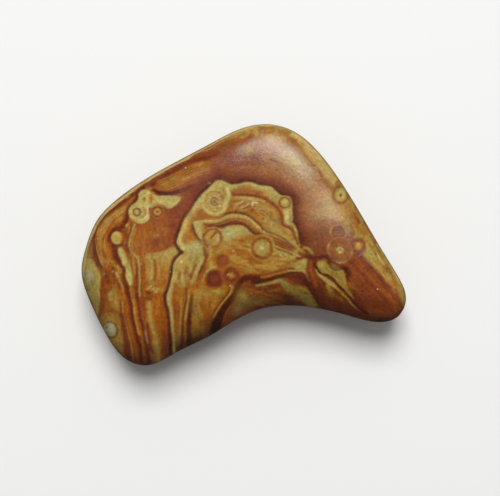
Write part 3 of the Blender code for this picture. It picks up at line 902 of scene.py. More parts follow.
def stain_middle(skin):
    """The arch's dark outer halo, then a base coat of everything inside it and down to the bay."""
    inside = (
        "-5 3.9, -4.75 4.5, -4.5 4.75, -4.2 5.05, -3.8 5.4, -3.5 5.7, -3.3 5.95, -3.1 6.1, -2.9 6.4,"
        "-2.5 6.6, -2.1 6.5, -1.8 6.25, -1.5 6.1, -0.9 6.15, -0.4 6.25, 0.2 6.35, 0.6 6.35, 1 6.2,"
        "1.5 6.05, 2 5.9, 2.6 5.85, 2.9 5.65, 3.1 5.45, 3.3 5.2, 3.6 5, 3.9 4.95, 4.3 4.9, 4.6 4.7,"
        "4.75 4.45, 4.72 4, 4.75 3.5, 4.8 3.1, 4.7 2.6, 4.7 2.3, 5 2, 5.2 1.6, 5.3 1.1, 5.35 0.5, 5.4 0.1,"
        "5.6 -0.2, 6 -0.35"
    )
    below = (
        "6.5 -1, 6.3 -2.4, 5.2 -2.6, 4.2 -2.8, 3 -3.2, 1 -3.3, -0.3 -4, -1.2 -5.8, -2.2 -8, -3 -14,"
        "-7.1 -14, -7.1 -9, -7.3 -5, -7 -3, -6.7 -1.8, -6.2 -1, -6.5 0.4, -6.2 1.6, -5.6 2.8"
    )
    halo = "-0.3 plum 0, 0 plum 1, 0.22 plum 0.95, 0.5 umber 0.9, 0.95 brick 0.7, 1.5 rust 0.4, 2.3 clay 0"
    skin.bands(inside, halo, (0.8, 0.6))
    skin.patch("ochre", inside + "," + below, 0.06)


def stain_main_seam(skin):
    """The plum seam that runs from the arch down the stone, with cream on its east side."""
    path = listed(
        "-3.3 6.2 0.06, -4 5.6 0.08, -4.5 5.1, -4.85 4.6, -5.1 4.1, -5.35 3.6, -5.75 3.1, -6.05 2.6,"
        "-6.3 2.1, -6.5 1.6, -6.7 1.1 0.07, -6.8 0.5, -6.78 0.1 0.06, -6.45 -0.25 0.1, -6.2 -0.55 0.13,"
        "-6.35 -0.88 0.08, -6.72 -1.2 0.06, -7 -1.6 0.05, -7.15 -2, -7.25 -2.6, -7.35 -3.2, -7.4 -3.7,"
        "-7.55 -4.2 0.07, -7.75 -4.7 0.08, -7.82 -5.2, -7.76 -5.7 0.07, -7.62 -6.2, -7.5 -6.7 0.06,"
        "-7.45 -7.4, -7.4 -8.3 0.07, -7.33 -9.2 0.08, -7.28 -10.5, -7.2 -14 0.1"
    )
    skin.seam(path, -1, 0.3, ("plum", "umber", "brick"))
    skin.stroke("gold", "-4.3 4.6 0.1, -5.1 3.3 0.2, -5.7 2.2, -6 1.2", 0.2, 0.8, (0.5, 1))
    strip = (
        "-4.35 4.85 0.06, -4.75 4.2 0.08, -5.15 3.55, -5.55 2.95, -5.9 2.3, -6.2 1.6 0.1, -6.42 0.9 0.14,"
        "-6.48 0.4 0.16, -6.2 -0.05, -5.85 -0.35 0.18"
    )
    skin.stroke("cream", strip, (0.16, 0.08), 0.9)
    strip = (
        "-6 -0.9 0.12, -6.5 -1.35, -6.82 -1.9 0.16, -6.88 -2.6, -6.98 -3.2, -7.15 -3.8 0.12,"
        "-7.3 -4.4 0.13, -7.48 -5 0.15, -7.48 -5.6 0.14, -7.34 -6.2 0.1, -7.24 -6.9 0.06, -7.17 -7.6 0.05,"
        "-7.12 -8.4, -7 -9.4 0.03, -6.9 -14"
    )
    skin.stroke("cream", strip, 0.08, 0.9)
    lower = [(x + 0.3, y) for x, y, _ in path[14:]]
    skin.stripes("ochre", lower, (0.12,), 0.02, 0.06, (0.5, 0.5), 0.6)


def stain_arch(skin):
    """Arch-shaped bands round the middle: cream, khaki and gold between brick lines, with three orbs."""
    shell = (
        "-4.9 3.7, -4.5 4.55, -3.9 5.2, -3.2 5.85, -2.5 6.35, -1.8 6.1, -1.3 5.9, -0.3 6.05, 0.6 6.15,"
        "1.5 5.9, 2.6 5.7, 3.2 5.2, 3.7 4.85, 4.4 4.75, 4.6 4.3, 4.6 3.4, 4.65 2.8, 4.55 2.3, 4.9 1.9,"
        "5.15 1.2, 5.25 0.4, 5.5 -0.2"
    )
    stops = "-1.1 ochre 0, -0.8 ochre 0.8, -0.5 gold 0.9, -0.25 khaki 1, 0, 0.12 cream 0.9, 0.3 khaki 0"
    skin.bands(shell, stops, (0.4, 0.3))
    skin.streaks(shell, -0.9, 0.25, "rust", "cream", 0.2, 0.45)
    skin.stroke("rust", "-1.2 5.55 0.03, 0 5.5 0.1, 1.2 5.35, 2.1 5.1 0.06", 0.2, 0.7)
    skin.stroke("ochre", "-0.6 5.8 0.05, 0.2 5.85 0.1, 1 5.7 0.06", 0.16, 0.7)
    skin.stroke("khaki", "2.2 5.5 0.08, 2.7 5.3 0.12, 3.2 4.7 0.08", 0.12, 0.8)
    skin.stroke("cream", "4.1 3.9 0.06, 4.3 3.2 0.1, 4.25 2.5 0.08, 4.55 1.95 0.06", 0.12)
    skin.stroke("khaki", "4.5 1.9 0.08, 4.85 1.5 0.1, 5.1 0.9 0.06", 0.1, 0.8)
    under = (
        "-1.5 5.1, 0 4.75, 1.2 4.7, 2.2 4.3, 3 3.6, 3.5 2.7, 3.5 2, 2.5 1.9, 1.9 2.4, 1.4 2.8, 0.6 3.3,"
        "-0.6 3.5, -1.8 3.6, -2.6 3, -4 2.8, -5 2.9, -4.9 3.4, -3.9 3.4, -2.2 3.6, -1.8 4.3"
    )
    skin.patch("ochre", under, 0.14, 0.9)
    skin.washes(
        "orange -0.4 4.1 1 0.5 0 0.9, rust -3.2 3.1 1.1 0.22 -4 0.85, rust -4.4 3.45 0.45 0.25 40 0.8,"
        "rust 0.6 3.7 0.8 0.35 -15 0.5, gold 2.4 3.3 0.7 0.8 -40 0.8, khaki 1.4 4.6 1.3 0.22 -10 0.9,"
        "cream 0 4.8 1 0.14 -3 0.8, khaki 2.8 2.4 0.9 0.6 -45"
    )
    skin.streaks("-1.2 4, 0.6 4.2, 2.2 3.4, 3.2 2.2", -0.8, 0.8, "rust", "khaki", 0.16, 0.6, stretch=4)
    for path in (
        "-0.9 4 0.01, -0.5 4.2 0.04, -0.1 4.5 0.02",
        "-0.5 3.75 0.01, 0.1 3.95 0.03, 0.6 4.3 0.02",
        "0.75 3.8 0.01, 0.85 4.2 0.03, 0.8 4.7 0.02",
        "1.3 3.6 0.01, 1.7 3.7 0.03, 2.1 3.5 0.01",
    ):
        skin.stroke("cream", path, 0.07, 0.7)
        skin.stroke("rust", moved(path, 0.12, -0.1), 0.06, 0.7)
    line = (
        "-1.55 5.8 0.02, -1.4 5.4 0.04, -1 5.15 0.05, -0.5 5.07 0.06, 0.2 5.05, 0.9 5, 1.5 4.93 0.05,"
        "2 4.75, 2.4 4.5, 2.8 4.2, 3.15 3.92, 3.4 3.6, 3.6 3.25, 3.76 2.9, 3.8 2.45, 3.85 2.15,"
        "4.2 1.95 0.04, 4.55 1.78, 4.8 1.5, 4.92 1.1, 5.1 0.7, 5.25 0.3, 5.45 -0.1 0.03"
    )
    skin.seam(line, 1, 0.3, ("brick", "rust", "ochre"), strength=0.95)
    rings = "0 cream 1, 0.28 khaki, 0.4 gold 0.9, 0.52 umber 0.85, 0.62 brick 0.6, 0.78 khaki 0"
    skin.orb(4.08, 4.33, rings, 0.95)
    ring = (
        "-4.25 4.2, -3.9 5.1, -3.3 5.7, -2.5 6.3, -1.8 6.05, -1.35 5.4, -1.35 4.6, -1.75 3.7, -2.3 3.1,"
        "-3.2 3.05, -4 3.5"
    )
    skin.patch("khaki", ring, 0.14, 0.9)
    rings = (
        "0 mauve 1, 0.14 brick 0.8, 0.24 khaki 0.9, 0.34 clay 0.95, 0.42 clay 0.9, 0.52 khaki,"
        "0.62 cream 0.7, 0.72 olive 0.8, 0.82 khaki 0.9, 0.95 gold 0.8, 1.05 ochre 0.6, 1.14 cream 0.8,"
        "1.26, 1.45 khaki 0"
    )
    skin.orb(-2.95, 4.45, rings, 1.03)
    skin.washes("ochre -2.2 5 0.3 0.9 5 0.55, clay -2.05 4.9 0.12 0.3 10 0.7")
    skin.stroke("cream", "-1.8 6 0.06, -1.55 5.2 0.12, -1.75 4.4, -2.1 3.7 0.06", 0.12)
    skin.stroke("ochre", "-2.05 5.9 0.03, -1.85 5.2 0.05, -2 4.6 0.04", 0.1, 0.6)
    skin.washes(
        "khaki -2.4 6.25 0.5 0.3 0 0.8, cream -2.4 6.1 0.16 0.2, gold -2.35 5.8 0.2 0.14 0 0.7,"
        "cream -3.5 6.2 0.1 0.1 0 0.8"
    )
    for x, y, size in listed("-2.5 5.35 0.08, -2.35 5 0.06, -2.7 3.8 0.07, -2.3 4.2 0.06, -3.2 5"):
        skin.wash("umber", x, y, size, 1.5 * size, 30, 0.7)
    for x, y, size in listed("-2.4 4 0.08, -2.9 3.6 0.07, -2.6 5.1 0.06, -2.55 4.4 0.07"):
        skin.wash("pearl", x, y, size, 1.3 * size, -20, 0.6)


def stain_second_arch(skin):
    """The lower arch: a pale line, a brown band inside it, and the pale ground that these close over."""
    sage = (
        "-2.4 1.6, -1.9 1.85, -1.2 2, -0.4 1.95, 0.2 1.8, 0.6 1.4, 0.9 1.15, 0.5 0.7, -0.6 0.5, -1.8 0.4,"
        "-2.5 0.9"
    )
    skin.patch("khaki", sage, 0.2, 0.9)
    skin.washes(
        "cream -0.9 1.65 1.3 0.4 0 0.85, sage -1.6 1.2 0.6 0.4 0 0.8, ochre -0.2 0.75 0.9 0.22 0 0.6"
    )
    rust_line = (
        "-2.2 3.12 0.02, -1.5 3.3 0.05, -0.9 3.32 0.06, -0.2 3.25 0.07, 0.3 3.12, 0.8 2.8, 1.2 2.5,"
        "1.6 2.15, 1.85 1.8, 2.2 1.5 0.06"
    )
    pale = (
        "-4.6 2.3, -4 2.52, -3.2 2.52, -2.6 2.58, -2.1 2.78, -1.5 3, -0.9 3.08, -0.2 3.02, 0.35 2.85,"
        "0.8 2.55, 1.2 2.2, 1.6 1.8, 2 1.4"
    )
    stops = (
        "-1.05 khaki 0, -0.92 brick 0.5, -0.8 umber 0.9, -0.66 brick, -0.5 rust, -0.3 rust 0.95,"
        "-0.2 gold 0.9, -0.1 khaki, 0.02 cream 1, 0.1 khaki 0.9, 0.2 ochre 0"
    )
    skin.bands(pale, stops, (0.4, 0.4))
    skin.streaks(pale, -0.85, -0.15, "brick", "gold", 0.14, 0.6)
    skin.stroke("umber", rust_line, 0.07, 0.8)
    edge = (
        "-3.7 1.95 0.02, -3.2 2.02 0.04, -2.6 1.95 0.05, -2 2.12, -1.2 2.25, -0.5 2.24, 0.15 2.1,"
        "0.5 1.8 0.06, 0.78 1.45, 1.2 1.22 0.05, 1.8 1.15 0.04"
    )
    skin.stroke("umber", edge, (0.14, 0.07), 0.85)
    block = "-5.05 2.35, -4.7 2.5, -4.3 2.5, -4.2 2.1, -4.25 1.4, -4.1 0.75, -4.4 0.75, -4.8 1.4, -5 1.9"
    skin.patch("cream", block, 0.1, 0.95)
    skin.stroke("gold", "-4.1 2.2 0.05, -4.15 1.6 0.08, -4.1 1 0.05", 0.12, 0.8)
    west_seam = (
        "-5.3 2.6 0.03, -5.22 2.2 0.05, -5.08 1.7 0.06, -4.88 1.2 0.07, -4.62 0.78, -4.3 0.48,"
        "-4.05 0 0.06, -3.92 -0.5 0.07, -3.95 -1 0.06, -4.15 -1.5 0.05, -4.35 -2 0.04"
    )
    skin.washes("gold -5.7 1.6 0.3 0.9 -12 0.8, orange -5.45 0.8 0.4 0.5 0 0.7")
    skin.stroke("rust", "-5.45 2.8 0.04, -5.4 2 0.06, -5.2 1.3", 0.14, 0.6)
    skin.stroke("umber", west_seam, (0.07, 0.1), 0.85)
    rings = (
        "0 gold 0.5, 0.4 khaki 0.8, 0.62 khaki 0.9, 0.78 clay 0.7, 0.9 rust 0.95, 1 rust 0.9,"
        "1.1 khaki 0.7, 1.25 khaki 0"
    )
    skin.orb(-3.15, 0.75, rings, 1)
    cap = "-3.85 1, -3.7 1.35, -3.3 1.6, -2.85 1.6, -3 1.2, -3.4 0.75, -3.7 0.7"
    skin.patch("gold", cap, 0.1, 0.95)
    skin.washes("cream -2.55 0.8 0.14 0.4 0 0.7, ochre -3.3 0.3 0.4 0.2 0 0.5")
    skin.stroke("brick", "-3.45 0.6 0.02, -3.2 0.85 0.05, -2.9 1.25 0.04, -2.7 1.55 0.02", 0.06)
    skin.stroke("khaki", "-3.3 0.5 0.02, -3 0.8 0.04, -2.75 1.2 0.03", 0.06, 0.8)
    skin.washes("gold -0.8 1.5 0.1 0.1 0 0.9")
    skin.orb(1.9, 2.75, "0 umber 0.9, 0.1 brick 0.7, 0.22 khaki 0")


def stain_centre(skin):
    """The gold field with its ringed orb, the lines that leave it to the east, and the pale lobe."""
    field = (
        "0.2 0.9, 1.2 1.1, 3 0.6, 4.6 -0.4, 5.8 -1.1, 6 -2.2, 4.6 -2.6, 2.8 -3, 0.8 -2.9, -0.8 -2.6,"
        "-1.6 -1.6, -2.6 -0.8, -3.4 -0.6, -3.2 -0.1, -2.2 0, -1 0.4"
    )
    skin.patch("ochre", field, 0.25)
    skin.washes(
        "gold 2.2 -2.1 2.4 0.6 -2 0.7, gold -1.6 -0.1 1 0.4 -15 0.8, khaki -2.5 -0.55 0.6 0.2 15,"
        "gold -0.9 -1.2 0.9 0.6 -20, orange 0 -0.1 0.7 0.5 -20 0.5, khaki 4.2 -1.4 1.3 0.4 -10 0.8"
    )
    skin.streaks("-2.5 -0.9, 0 -1.4, 3 -1.7, 6 -1.6", -1.2, 2, "rust", "khaki", 0.24, 0.55, stretch=3)
    fan = "1.9 1.6, 3 1.4, 4 1.3, 4.9 0.8, 5.3 0, 5.9 -0.8, 5.2 -1.3, 4 -1, 3 -0.4, 2.7 0.6"
    skin.patch("khaki", fan, 0.2, 0.95)
    skin.washes(
        "khaki 3.2 1.7 1 0.3 -20 0.8, ochre 3.9 0.15 1.3 0.4 -33 0.85, khaki 3.4 -0.75 0.6 0.2 -15 0.8"
    )
    fan_lines = (
        "2 1.62 0.03, 2.5 1.42 0.04, 3.1 1.2 0.05, 3.6 0.97, 4.1 0.6, 4.5 0.25, 5 -0.12, 5.35 -0.42 0.04",
        "2.4 1.1 0.02, 2.9 0.92 0.04, 3.5 0.62, 4.1 0.28, 4.6 -0.02, 5 -0.3 0.03",
        "2.8 0.7 0.02, 3.4 0.38 0.03, 4 0.08, 4.6 -0.2, 5.1 -0.5",
        "2.95 0.35 0.02, 3.6 0.03 0.03, 4.2 -0.25, 4.8 -0.5 0.02",
        "2.9 -0.08 0.03, 3.5 -0.32 0.05, 4.1 -0.52, 4.6 -0.75, 5 -0.95",
    )
    for path in fan_lines:
        skin.stroke("brick", path, 0.07, 0.8)
    skin.stroke("ochre", "3.9 1.5 0.04, 4.5 1.1 0.1, 5 0.5 0.06", 0.14, 0.7)
    rings = (
        "0 pearl 1, 0.16 cream, 0.3 khaki 0.9, 0.7, 0.82 ochre, 0.92 rust 0.95, 1.06 rust 0.85,"
        "1.2 khaki 0.5, 1.35 khaki 0"
    )
    skin.orb(1.8, -0.2, rings, 1.05, 10)
    skin.washes("gold 2.3 0.1 0.2 0.4 -20 0.5")
    skin.stroke("brick", "0.98 -0.3 0.02, 1.2 -0.85 0.05, 1.75 -1.12 0.04", 0.1, 0.6)
    skin.washes("brick 3.5 -0.88 0.12 0.1 0 0.7")
    under = "0 -2.95 0.02, 1.4 -2.92 0.04, 2.6 -2.75, 3.6 -2.5, 4.6 -2.3, 5.2 -2.2 0.02"
    skin.stroke("brick", under, 0.09, 0.8)
    lobe = "5.2 -1.7, 5.6 -1.45, 6.05 -1.3, 6.4 -1.25, 6.55 -1.5, 6.3 -1.85, 6.2 -2.2, 5.7 -2.35, 5.1 -2.2"
    skin.patch("khaki", lobe, 0.12)
    skin.washes("cream 6 -1.6 0.25 0.2 10 0.8, cream 5.5 -2 0.2 0.14 0 0.6")
    skin.stroke("khaki", "4.3 -2.55 0.02, 5.2 -2.42 0.05, 5.9 -2.45 0.06, 6.2 -2.9 0.03", 0.07, 0.9)
    skin.stroke("brick", "5.1 -1.15 0.04, 5.6 -1.22 0.06, 6.1 -1.1, 6.55 -1.25 0.05", 0.08)
    skin.stroke("brick", "6.6 -1.2 0.04, 6.68 -1.6 0.05, 6.4 -2 0.04, 6.35 -2.5", 0.07)
    skin.stroke("umber", "5.3 -0.5 0.05, 5.8 -0.85 0.12, 6.6 -1.1 0.1", 0.12, 0.8)
    skin.stroke("umber", "5.9 -0.3 0.05, 6.3 -0.6 0.1, 6.7 -1.2", 0.14, 0.7)
    skin.stroke("olive", "5.8 -0.15 0.02, 6.3 -0.2 0.07, 6.7 -0.5 0.08, 6.95 -0.95 0.04", 0.09)


def stain_legs(skin):
    """The legs between the main seam and the bay: mottled ground, discs, and columns down to the foot."""
    pale = "-6.2 -0.1, -5.4 0.45, -4.5 0.45, -4.15 -0.1, -4.1 -1.1, -4.5 -1.8, -5.4 -1.3, -6.1 -0.8"
    skin.patch("khaki", pale, 0.2, 0.9)
    skin.washes(
        "sage -4.8 -0.1 0.6 0.5 0 0.9, cream -5.6 -0.4 0.3 0.3 0 0.7, olive -4.6 -1.2 0.3 0.5 20 0.5"
    )
    mottle = "-6.6 -1.6, -5.8 -1.2, -4.9 -1.6, -4.6 -2.6, -4.8 -3.6, -5.6 -4, -6.6 -4.1, -7 -3"
    skin.patch("khaki", mottle, 0.25, 0.85)
    skin.streaks("-5.6 -0.8, -5.8 -2.4, -6 -4.2", -1.1, 1.1, "rust", "cream", 0.3, 0.7, stretch=2.2)
    skin.washes(
        "ochre -5.9 -2 0.5 0.4 0 0.7, rust -5.9 -2.75 0.22 0.3 0 0.8, rust -5.75 -3.5 0.14 0.4 0 0.7,"
        "cream -5.4 -3.25 0.14 0.14 0 0.8, gold -6.3 -3.7 0.3 0.2 0 0.9"
    )
    skin.stroke("cream", "-6.6 -1.7 0.05, -6.75 -2.5 0.08, -6.8 -3.3 0.04", 0.12, 0.7)
    ground = (
        "-7.2 -4.2, -6.4 -4.2, -5.6 -4.1, -4.9 -3.7, -3.9 -3.9, -3.4 -4.3, -1.9 -4.3, -1 -4.6, -1.6 -6,"
        "-2.4 -8.2, -2.6 -14, -7.1 -14, -7.2 -9, -7.4 -6"
    )
    skin.patch("ochre", ground, 0.2, 0.95)
    skin.washes("rust -6.7 -7 0.5 2.8 0 0.95")
    skin.streaks("-6.2 -4.2, -6.3 -7, -6.2 -12", -1, 1.4, "brick", "ochre", 0.16, 0.7)
    skin.washes("olive -6.7 -9.4 0.3 1 0 0.7")
    for mineral, path, soft in (
        ("gold", "-6.35 -5 0.02, -6.3 -6.4 0.04, -6.35 -8, -6.4 -9 0.02", 0.1),
        ("umber", "-6 -6.2 0.02, -6.1 -7.4 0.04, -6.2 -8.6 0.06, -6.2 -14 0.1", 0.08),
        ("umber", "-5.2 -4.7 0.02, -5.25 -5.3 0.1, -5.4 -6 0.15, -5.48 -7 0.16, -5.5 -8 0.18", 0.1),
        ("plum", "-5.45 -6.6 0.06, -5.5 -7.6 0.12, -5.5 -9 0.2, -5.5 -14 0.3", 0.1),
        ("umber", "-5.72 -4 0.03, -5.75 -4.8 0.05, -5.8 -5.6, -5.95 -6.4 0.03", 0.09),
        ("gold", "-5.5 -4.2 0.02, -5.55 -5 0.04, -5.6 -5.8, -5.78 -6.8, -5.9 -7.6 0.02", 0.08),
        ("khaki", "-5.55 -4.8 0.01, -5.58 -5.6 0.02, -5.75 -6.6, -5.85 -7.4 0.01", 0.04),
    ):
        skin.stroke(mineral, path, soft, 0.85)
    skin.washes(
        "olive -4.75 -6.6 0.35 1.5 3 0.9, khaki -4.75 -5.9 0.18 1 5 0.7, orange -3.8 -6.1 0.6 1 -10 0.9,"
        "rust -3.3 -7.2 0.6 0.9 -15 0.8, rust -4 -7.6 0.3 0.7 -5 0.5, olive -3 -4.75 1 0.35 -8 0.9,"
        "khaki -2.6 -4.6 0.5 0.25 -8 0.7, khaki -4.3 -4.9 0.4 0.6 0"
    )
    skin.streaks("-4.2 -4.4, -4 -6, -3.8 -9", -1, 1.6, "rust", "gold", 0.22, 0.6, stretch=4)
    skin.washes("brick -4.65 -4 0.18 0.26 0 0.9")
    for mineral, path in (
        ("khaki", "-3.45 0.1 0.02, -3.35 -0.4 0.05, -3.4 -0.9 0.04, -3.7 -1.5 0.02"),
        ("rust", "-3.6 -0.5 0.04, -3.8 -1.3 0.12, -4.15 -2.2, -4.5 -3 0.08, -4.7 -3.8 0.04"),
        ("umber", "-3.75 -0.8 0.02, -3.95 -1.5 0.05, -4.25 -2.2 0.04, -4.5 -3 0.03"),
        ("khaki", "-4 -0.9 0.03, -4.2 -1.5 0.09, -4.55 -2.2 0.1, -4.9 -3 0.09, -5.2 -3.8 0.04"),
        ("cream", "-4.2 -1.3 0.02, -4.5 -2.1 0.05, -4.85 -2.9 0.04"),
        ("rust", "-4.75 -1.6 0.03, -5.05 -2.5 0.06, -5.4 -3.5 0.05"),
        ("khaki", "-3.6 -2.3 0.04, -4 -3 0.07, -4.3 -3.6 0.04"),
        ("rust", "-3.9 -2.2 0.03, -4.15 -2.9 0.05, -4.4 -3.6 0.03"),
    ):
        skin.stroke(mineral, path, 0.09, 0.85)
    skin.patch("khaki", "-3.3 -1.4, -3 -1.9, -2.7 -2.1, -3.3 -2.4, -3.7 -2.6, -3.5 -1.9", 0.14, 0.9)
    disc = "0 rust 1, 0.4, 0.52 brick 0.9, 0.62 rust 0.8, 0.85 ochre 0"
    skin.orb(-2.15, -1.5, disc, 1)
    skin.washes("orange -1 -2.4 0.8 0.5 0 0.6")
    disc = "0 brick 1, 0.3, 0.6 umber, 0.82 brick 0.95, 0.94 rust 0.8, 1.05 ochre 0"
    skin.orb(-2.98, -3.3, disc, 1.05)
    skin.washes("orange -2.9 -4.2 0.4 0.1 0 0.8")
    rings = "0 khaki 0.9, 0.18 gold, 0.34 rust, 0.5 brick 0.95, 0.7 brick 0.9, 0.9 rust 0.7, 1.15 rust 0"
    skin.orb(-1.25, -2.98, rings, 1)
    skin.stroke("pearl", "-1.66 -2.8 0.01, -1.64 -2.9 0.02, -1.66 -3.02 0.01", 0.04, ends=(0.03, 0.03))
    seam = (
        "1.9 -3.25 0.05, 1.2 -3.3 0.14, 0.5 -3.3 0.2, 0 -3.45 0.26, -0.35 -3.9 0.28, -0.6 -4.45 0.26,"
        "-0.95 -5 0.24, -1.35 -5.5 0.22, -1.8 -6.05 0.24, -2.2 -6.7 0.28, -2.5 -7.4 0.32, -2.9 -9 0.4,"
        "-3.4 -14"
    )
    skin.seam(seam, -1, 0.45, ("plum", "umber", "rust"))
    gold_line = (
        "-1.2 -3.9 0.02, -1.3 -4.5 0.05, -1.6 -4.95, -2.05 -5.5, -2.5 -6.1 0.04, -2.85 -6.7 0.03,"
        "-3.1 -7.3 0.02"
    )
    skin.stroke("gold", gold_line, 0.08, 0.95)
    skin.stroke("umber", moved(gold_line, -0.22), 0.07, 0.7)
    skin.stroke("ochre", moved(gold_line, -0.42), 0.06, 0.6)
    # Painted shade: dark washes along the south rim.
    skin.washes(
        "soot -6.6 -10.4 1.2 0.8 15 0.6, soot -4.6 -9.4 1.6 0.6 25 0.85, soot -2.8 -8.2 0.8 0.6 25 0.7"
    )


def stain_bay(skin):
    """Dark seam over the southern bay, and the olive and rust ground under it."""
    ground = (
        "0 -3.6, 1.5 -3.4, 3.2 -3.2, 4.6 -3, 6.2 -3.6, 7.2 -5, 8.2 -6.4, 9 -12, -1.6 -12, -1.9 -7.5,"
        "-1.3 -6, -0.6 -4.8"
    )
    skin.patch("rust", ground, 0.1)
    skin.streaks("0 -4.2, 3 -4.4, 6 -4.8, 8 -6", -2, 0.8, "umber", "ochre", 0.24, 0.6, stretch=4)
    skin.washes(
        "brick 1 -3.9 1 0.3 0 0.8, olive -0.1 -5.3 0.7 0.9 10 0.95, khaki -0.1 -5.1 0.3 0.5 0 0.7,"
        "olive 1 -5.7 1.4 0.3 5 0.8, sage -0.6 -6.4 0.6 0.4 30 0.5"
    )
    band = (
        "3.5 -3.35, 4.1 -3.4, 4.8 -3.9, 5.6 -4, 6.2 -4.2, 6.8 -4.9, 7.3 -5.8, 7 -6.6, 6 -5.7, 5.2 -5.1,"
        "4.5 -4.7, 3.9 -4.1"
    )
    skin.patch("olive", band, 0.16, 0.95)
    # The dark wash by the bay's south rim is painted shade.
    skin.washes(
        "khaki 3.9 -3.6 0.4 0.22 -40 0.7, khaki 6.4 -5.3 0.5 0.3 -40 0.5, rust 5.6 -4.5 0.5 0.2 -20,"
        "soot 4.6 -5.7 1.3 0.45 -5 0.8, umber 4.2 -5 0.9 0.4 -30 0.7, umber 2.2 -6.2 1.8 0.3 0 0.5"
    )
    streak = "1.1 -3.95 0.03, 1.7 -3.85 0.05, 2.5 -3.74 0.06, 3.2 -3.55 0.07, 3.8 -3.35 0.06"
    skin.stroke("khaki", streak, 0.09, 0.85)
    top = (
        "0.6 -3.5 0.12, 1.4 -3.5, 2.2 -3.35 0.1, 3 -3.17 0.12, 3.7 -2.98, 4.3 -2.85 0.14, 5 -2.8 0.18,"
        "5.7 -2.9 0.2, 6.2 -3.2"
    )
    skin.stroke("plum", top, (0.08, 0.14), 0.95)
    hollow = "4.2 -2.85, 5.2 -2.65, 6.2 -2.8, 6.6 -3.7, 6.1 -4, 5.4 -3.75, 4.7 -3.45"
    skin.patch("umber", hollow, 0.2)
    skin.washes("brick 5.2 -3.5 0.6 0.25 0 0.7")
    side = (
        "6.1 -3.1 0.16, 6.45 -3.8 0.18, 6.9 -4.4 0.2, 7.3 -5 0.22, 7.65 -5.6 0.24, 8 -6.3 0.28,"
        "8.5 -7.4 0.3, 9 -11"
    )
    skin.stroke("plum", side, (0.25, 0.14), 0.95)
    skin.stroke("gold", "6.2 -2.6 0.02, 6.35 -3 0.03, 6.6 -3.6 0.02", 0.06, 0.8)
    skin.orb(0.75, -4.75, "0 clay 0.9, 0.1 tan 0.8, 0.2 umber 0.5, 0.34 orange, 0.5 rust 0")
    skin.washes(
        "tan 2.6 -4.55 0.16 0.08 0 0.6, tan 1.9 -4.4 0.1 0.08 0 0.4, tan 2.3 -4.2 0.12 0.06,"
        "umber 6.25 -4.75 0.12 0.1 0 0.9"
    )


def stain_leaf(skin):
    """The olive leaf east of the bay, its thin dark seam, and the strip under it."""
    ground = (
        "6.4 -1.1, 7.2 -0.9, 8.5 -1.2, 9.6 -2.2, 10.4 -2.6, 11 -4.2, 12.4 -6.6, 13 -9, 8.6 -9, 7.6 -5.6,"
        "6.8 -4.2, 6.3 -2.8"
    )
    skin.patch("umber", ground, 0.25)
    skin.washes("brick 9.6 -6.4 2.2 0.8 -20 0.6")
    skin.stroke("rust", "6.8 -1.3 0.05, 6.65 -2.2 0.08, 6.9 -3.1, 7.3 -4.2 0.06", 0.15)
    leaf = (
        "7.4 -1.6, 8 -1.45, 8.4 -1.8, 8.7 -2.25, 9.1 -2.45, 9.5 -2.5, 9.95 -2.45, 10.1 -2.9, 10.15 -3.5,"
        "10.35 -4.1, 10.75 -4.9, 10.95 -5.5, 10.3 -4.75, 9.7 -4.1, 9.1 -3.45, 8.5 -2.9, 7.9 -2.75,"
        "7.45 -2.2"
    )
    course = (
        "7.3 -1.35 0.05, 8.1 -1.25 0.08, 8.6 -1.75, 9 -2.2 0.1, 9.6 -2.35, 10.1 -2.35, 10.3 -2.9,"
        "10.35 -3.5, 10.6 -4.1 0.08, 11.1 -5 0.05"
    )
    skin.seam(course, 1, 0.55, ("plum", "umber", "brick"))
    skin.patch("olive", leaf, 0.1)
    skin.streaks("7.4 -1.8, 8.6 -2.4, 9.8 -3.4, 10.8 -5", -0.8, 0.9, "ochre", "khaki", 0.3, 0.5, stretch=4)
    skin.washes(
        "khaki 7.8 -1.95 0.35 0.35 -20 0.9, khaki 9.5 -3 0.25 0.35 -30 0.7,"
        "ochre 8.9 -2.9 0.4 0.25 -30 0.6, ochre 10.2 -4.3 0.2 0.5 -30 0.7"
    )
    skin.stroke("gold", "9.85 -2.6 0.03, 9.95 -3.2 0.06, 10.1 -3.8 0.04", 0.1, 0.8)
    strip = listed(
        "7.15 -2.2 0.03, 7.45 -2.7 0.07, 7.85 -3.15 0.1, 8.3 -3.5 0.14, 8.8 -3.85 0.1, 9.3 -4.25 0.06,"
        "9.8 -4.75 0.04, 10.3 -5.25 0.02, 10.75 -5.75 0.01, 11.3 -6.25, 12 -6.75 0"
    )
    skin.stroke("gold", strip, (0.06, 0.09), 0.85, (0.2, 1.6))
    skin.stroke("khaki", strip[:6], 0.08, 0.9)
    skin.stroke("gold", "8.3 -3.7 0.08, 8.5 -4.2 0.1, 8.9 -4.7 0.05", 0.14, 0.8)
    skin.washes(
        "khaki 8.4 -3.95 0.16 0.2 0 0.8, ochre 8.7 -4.8 0.6 0.35 -30 0.7, ochre 9.6 -5.3 0.6 0.25 -35 0.5"
    )
    seam = (
        "6.95 -1.6 0.04, 7.2 -2.1, 7.5 -2.55 0.05, 7.9 -2.85, 8.4 -2.95 0.04, 8.75 -3.2, 9.2 -3.65 0.05,"
        "9.6 -4.05, 10.1 -4.6, 10.6 -5.15 0.04, 11.1 -5.7, 11.6 -6.2, 12.3 -6.8 0.03"
    )
    skin.stroke("plum", seam, 0.06)
    skin.stroke("rust", "7 -2.5 0.02, 7.35 -3.2 0.05, 7.8 -3.9, 8.1 -4.6 0.03", 0.08, 0.8)
    # Painted shade: a dark wash along the south rim.
    skin.washes("soot 9.4 -6.9 1.8 0.4 -14 0.8")


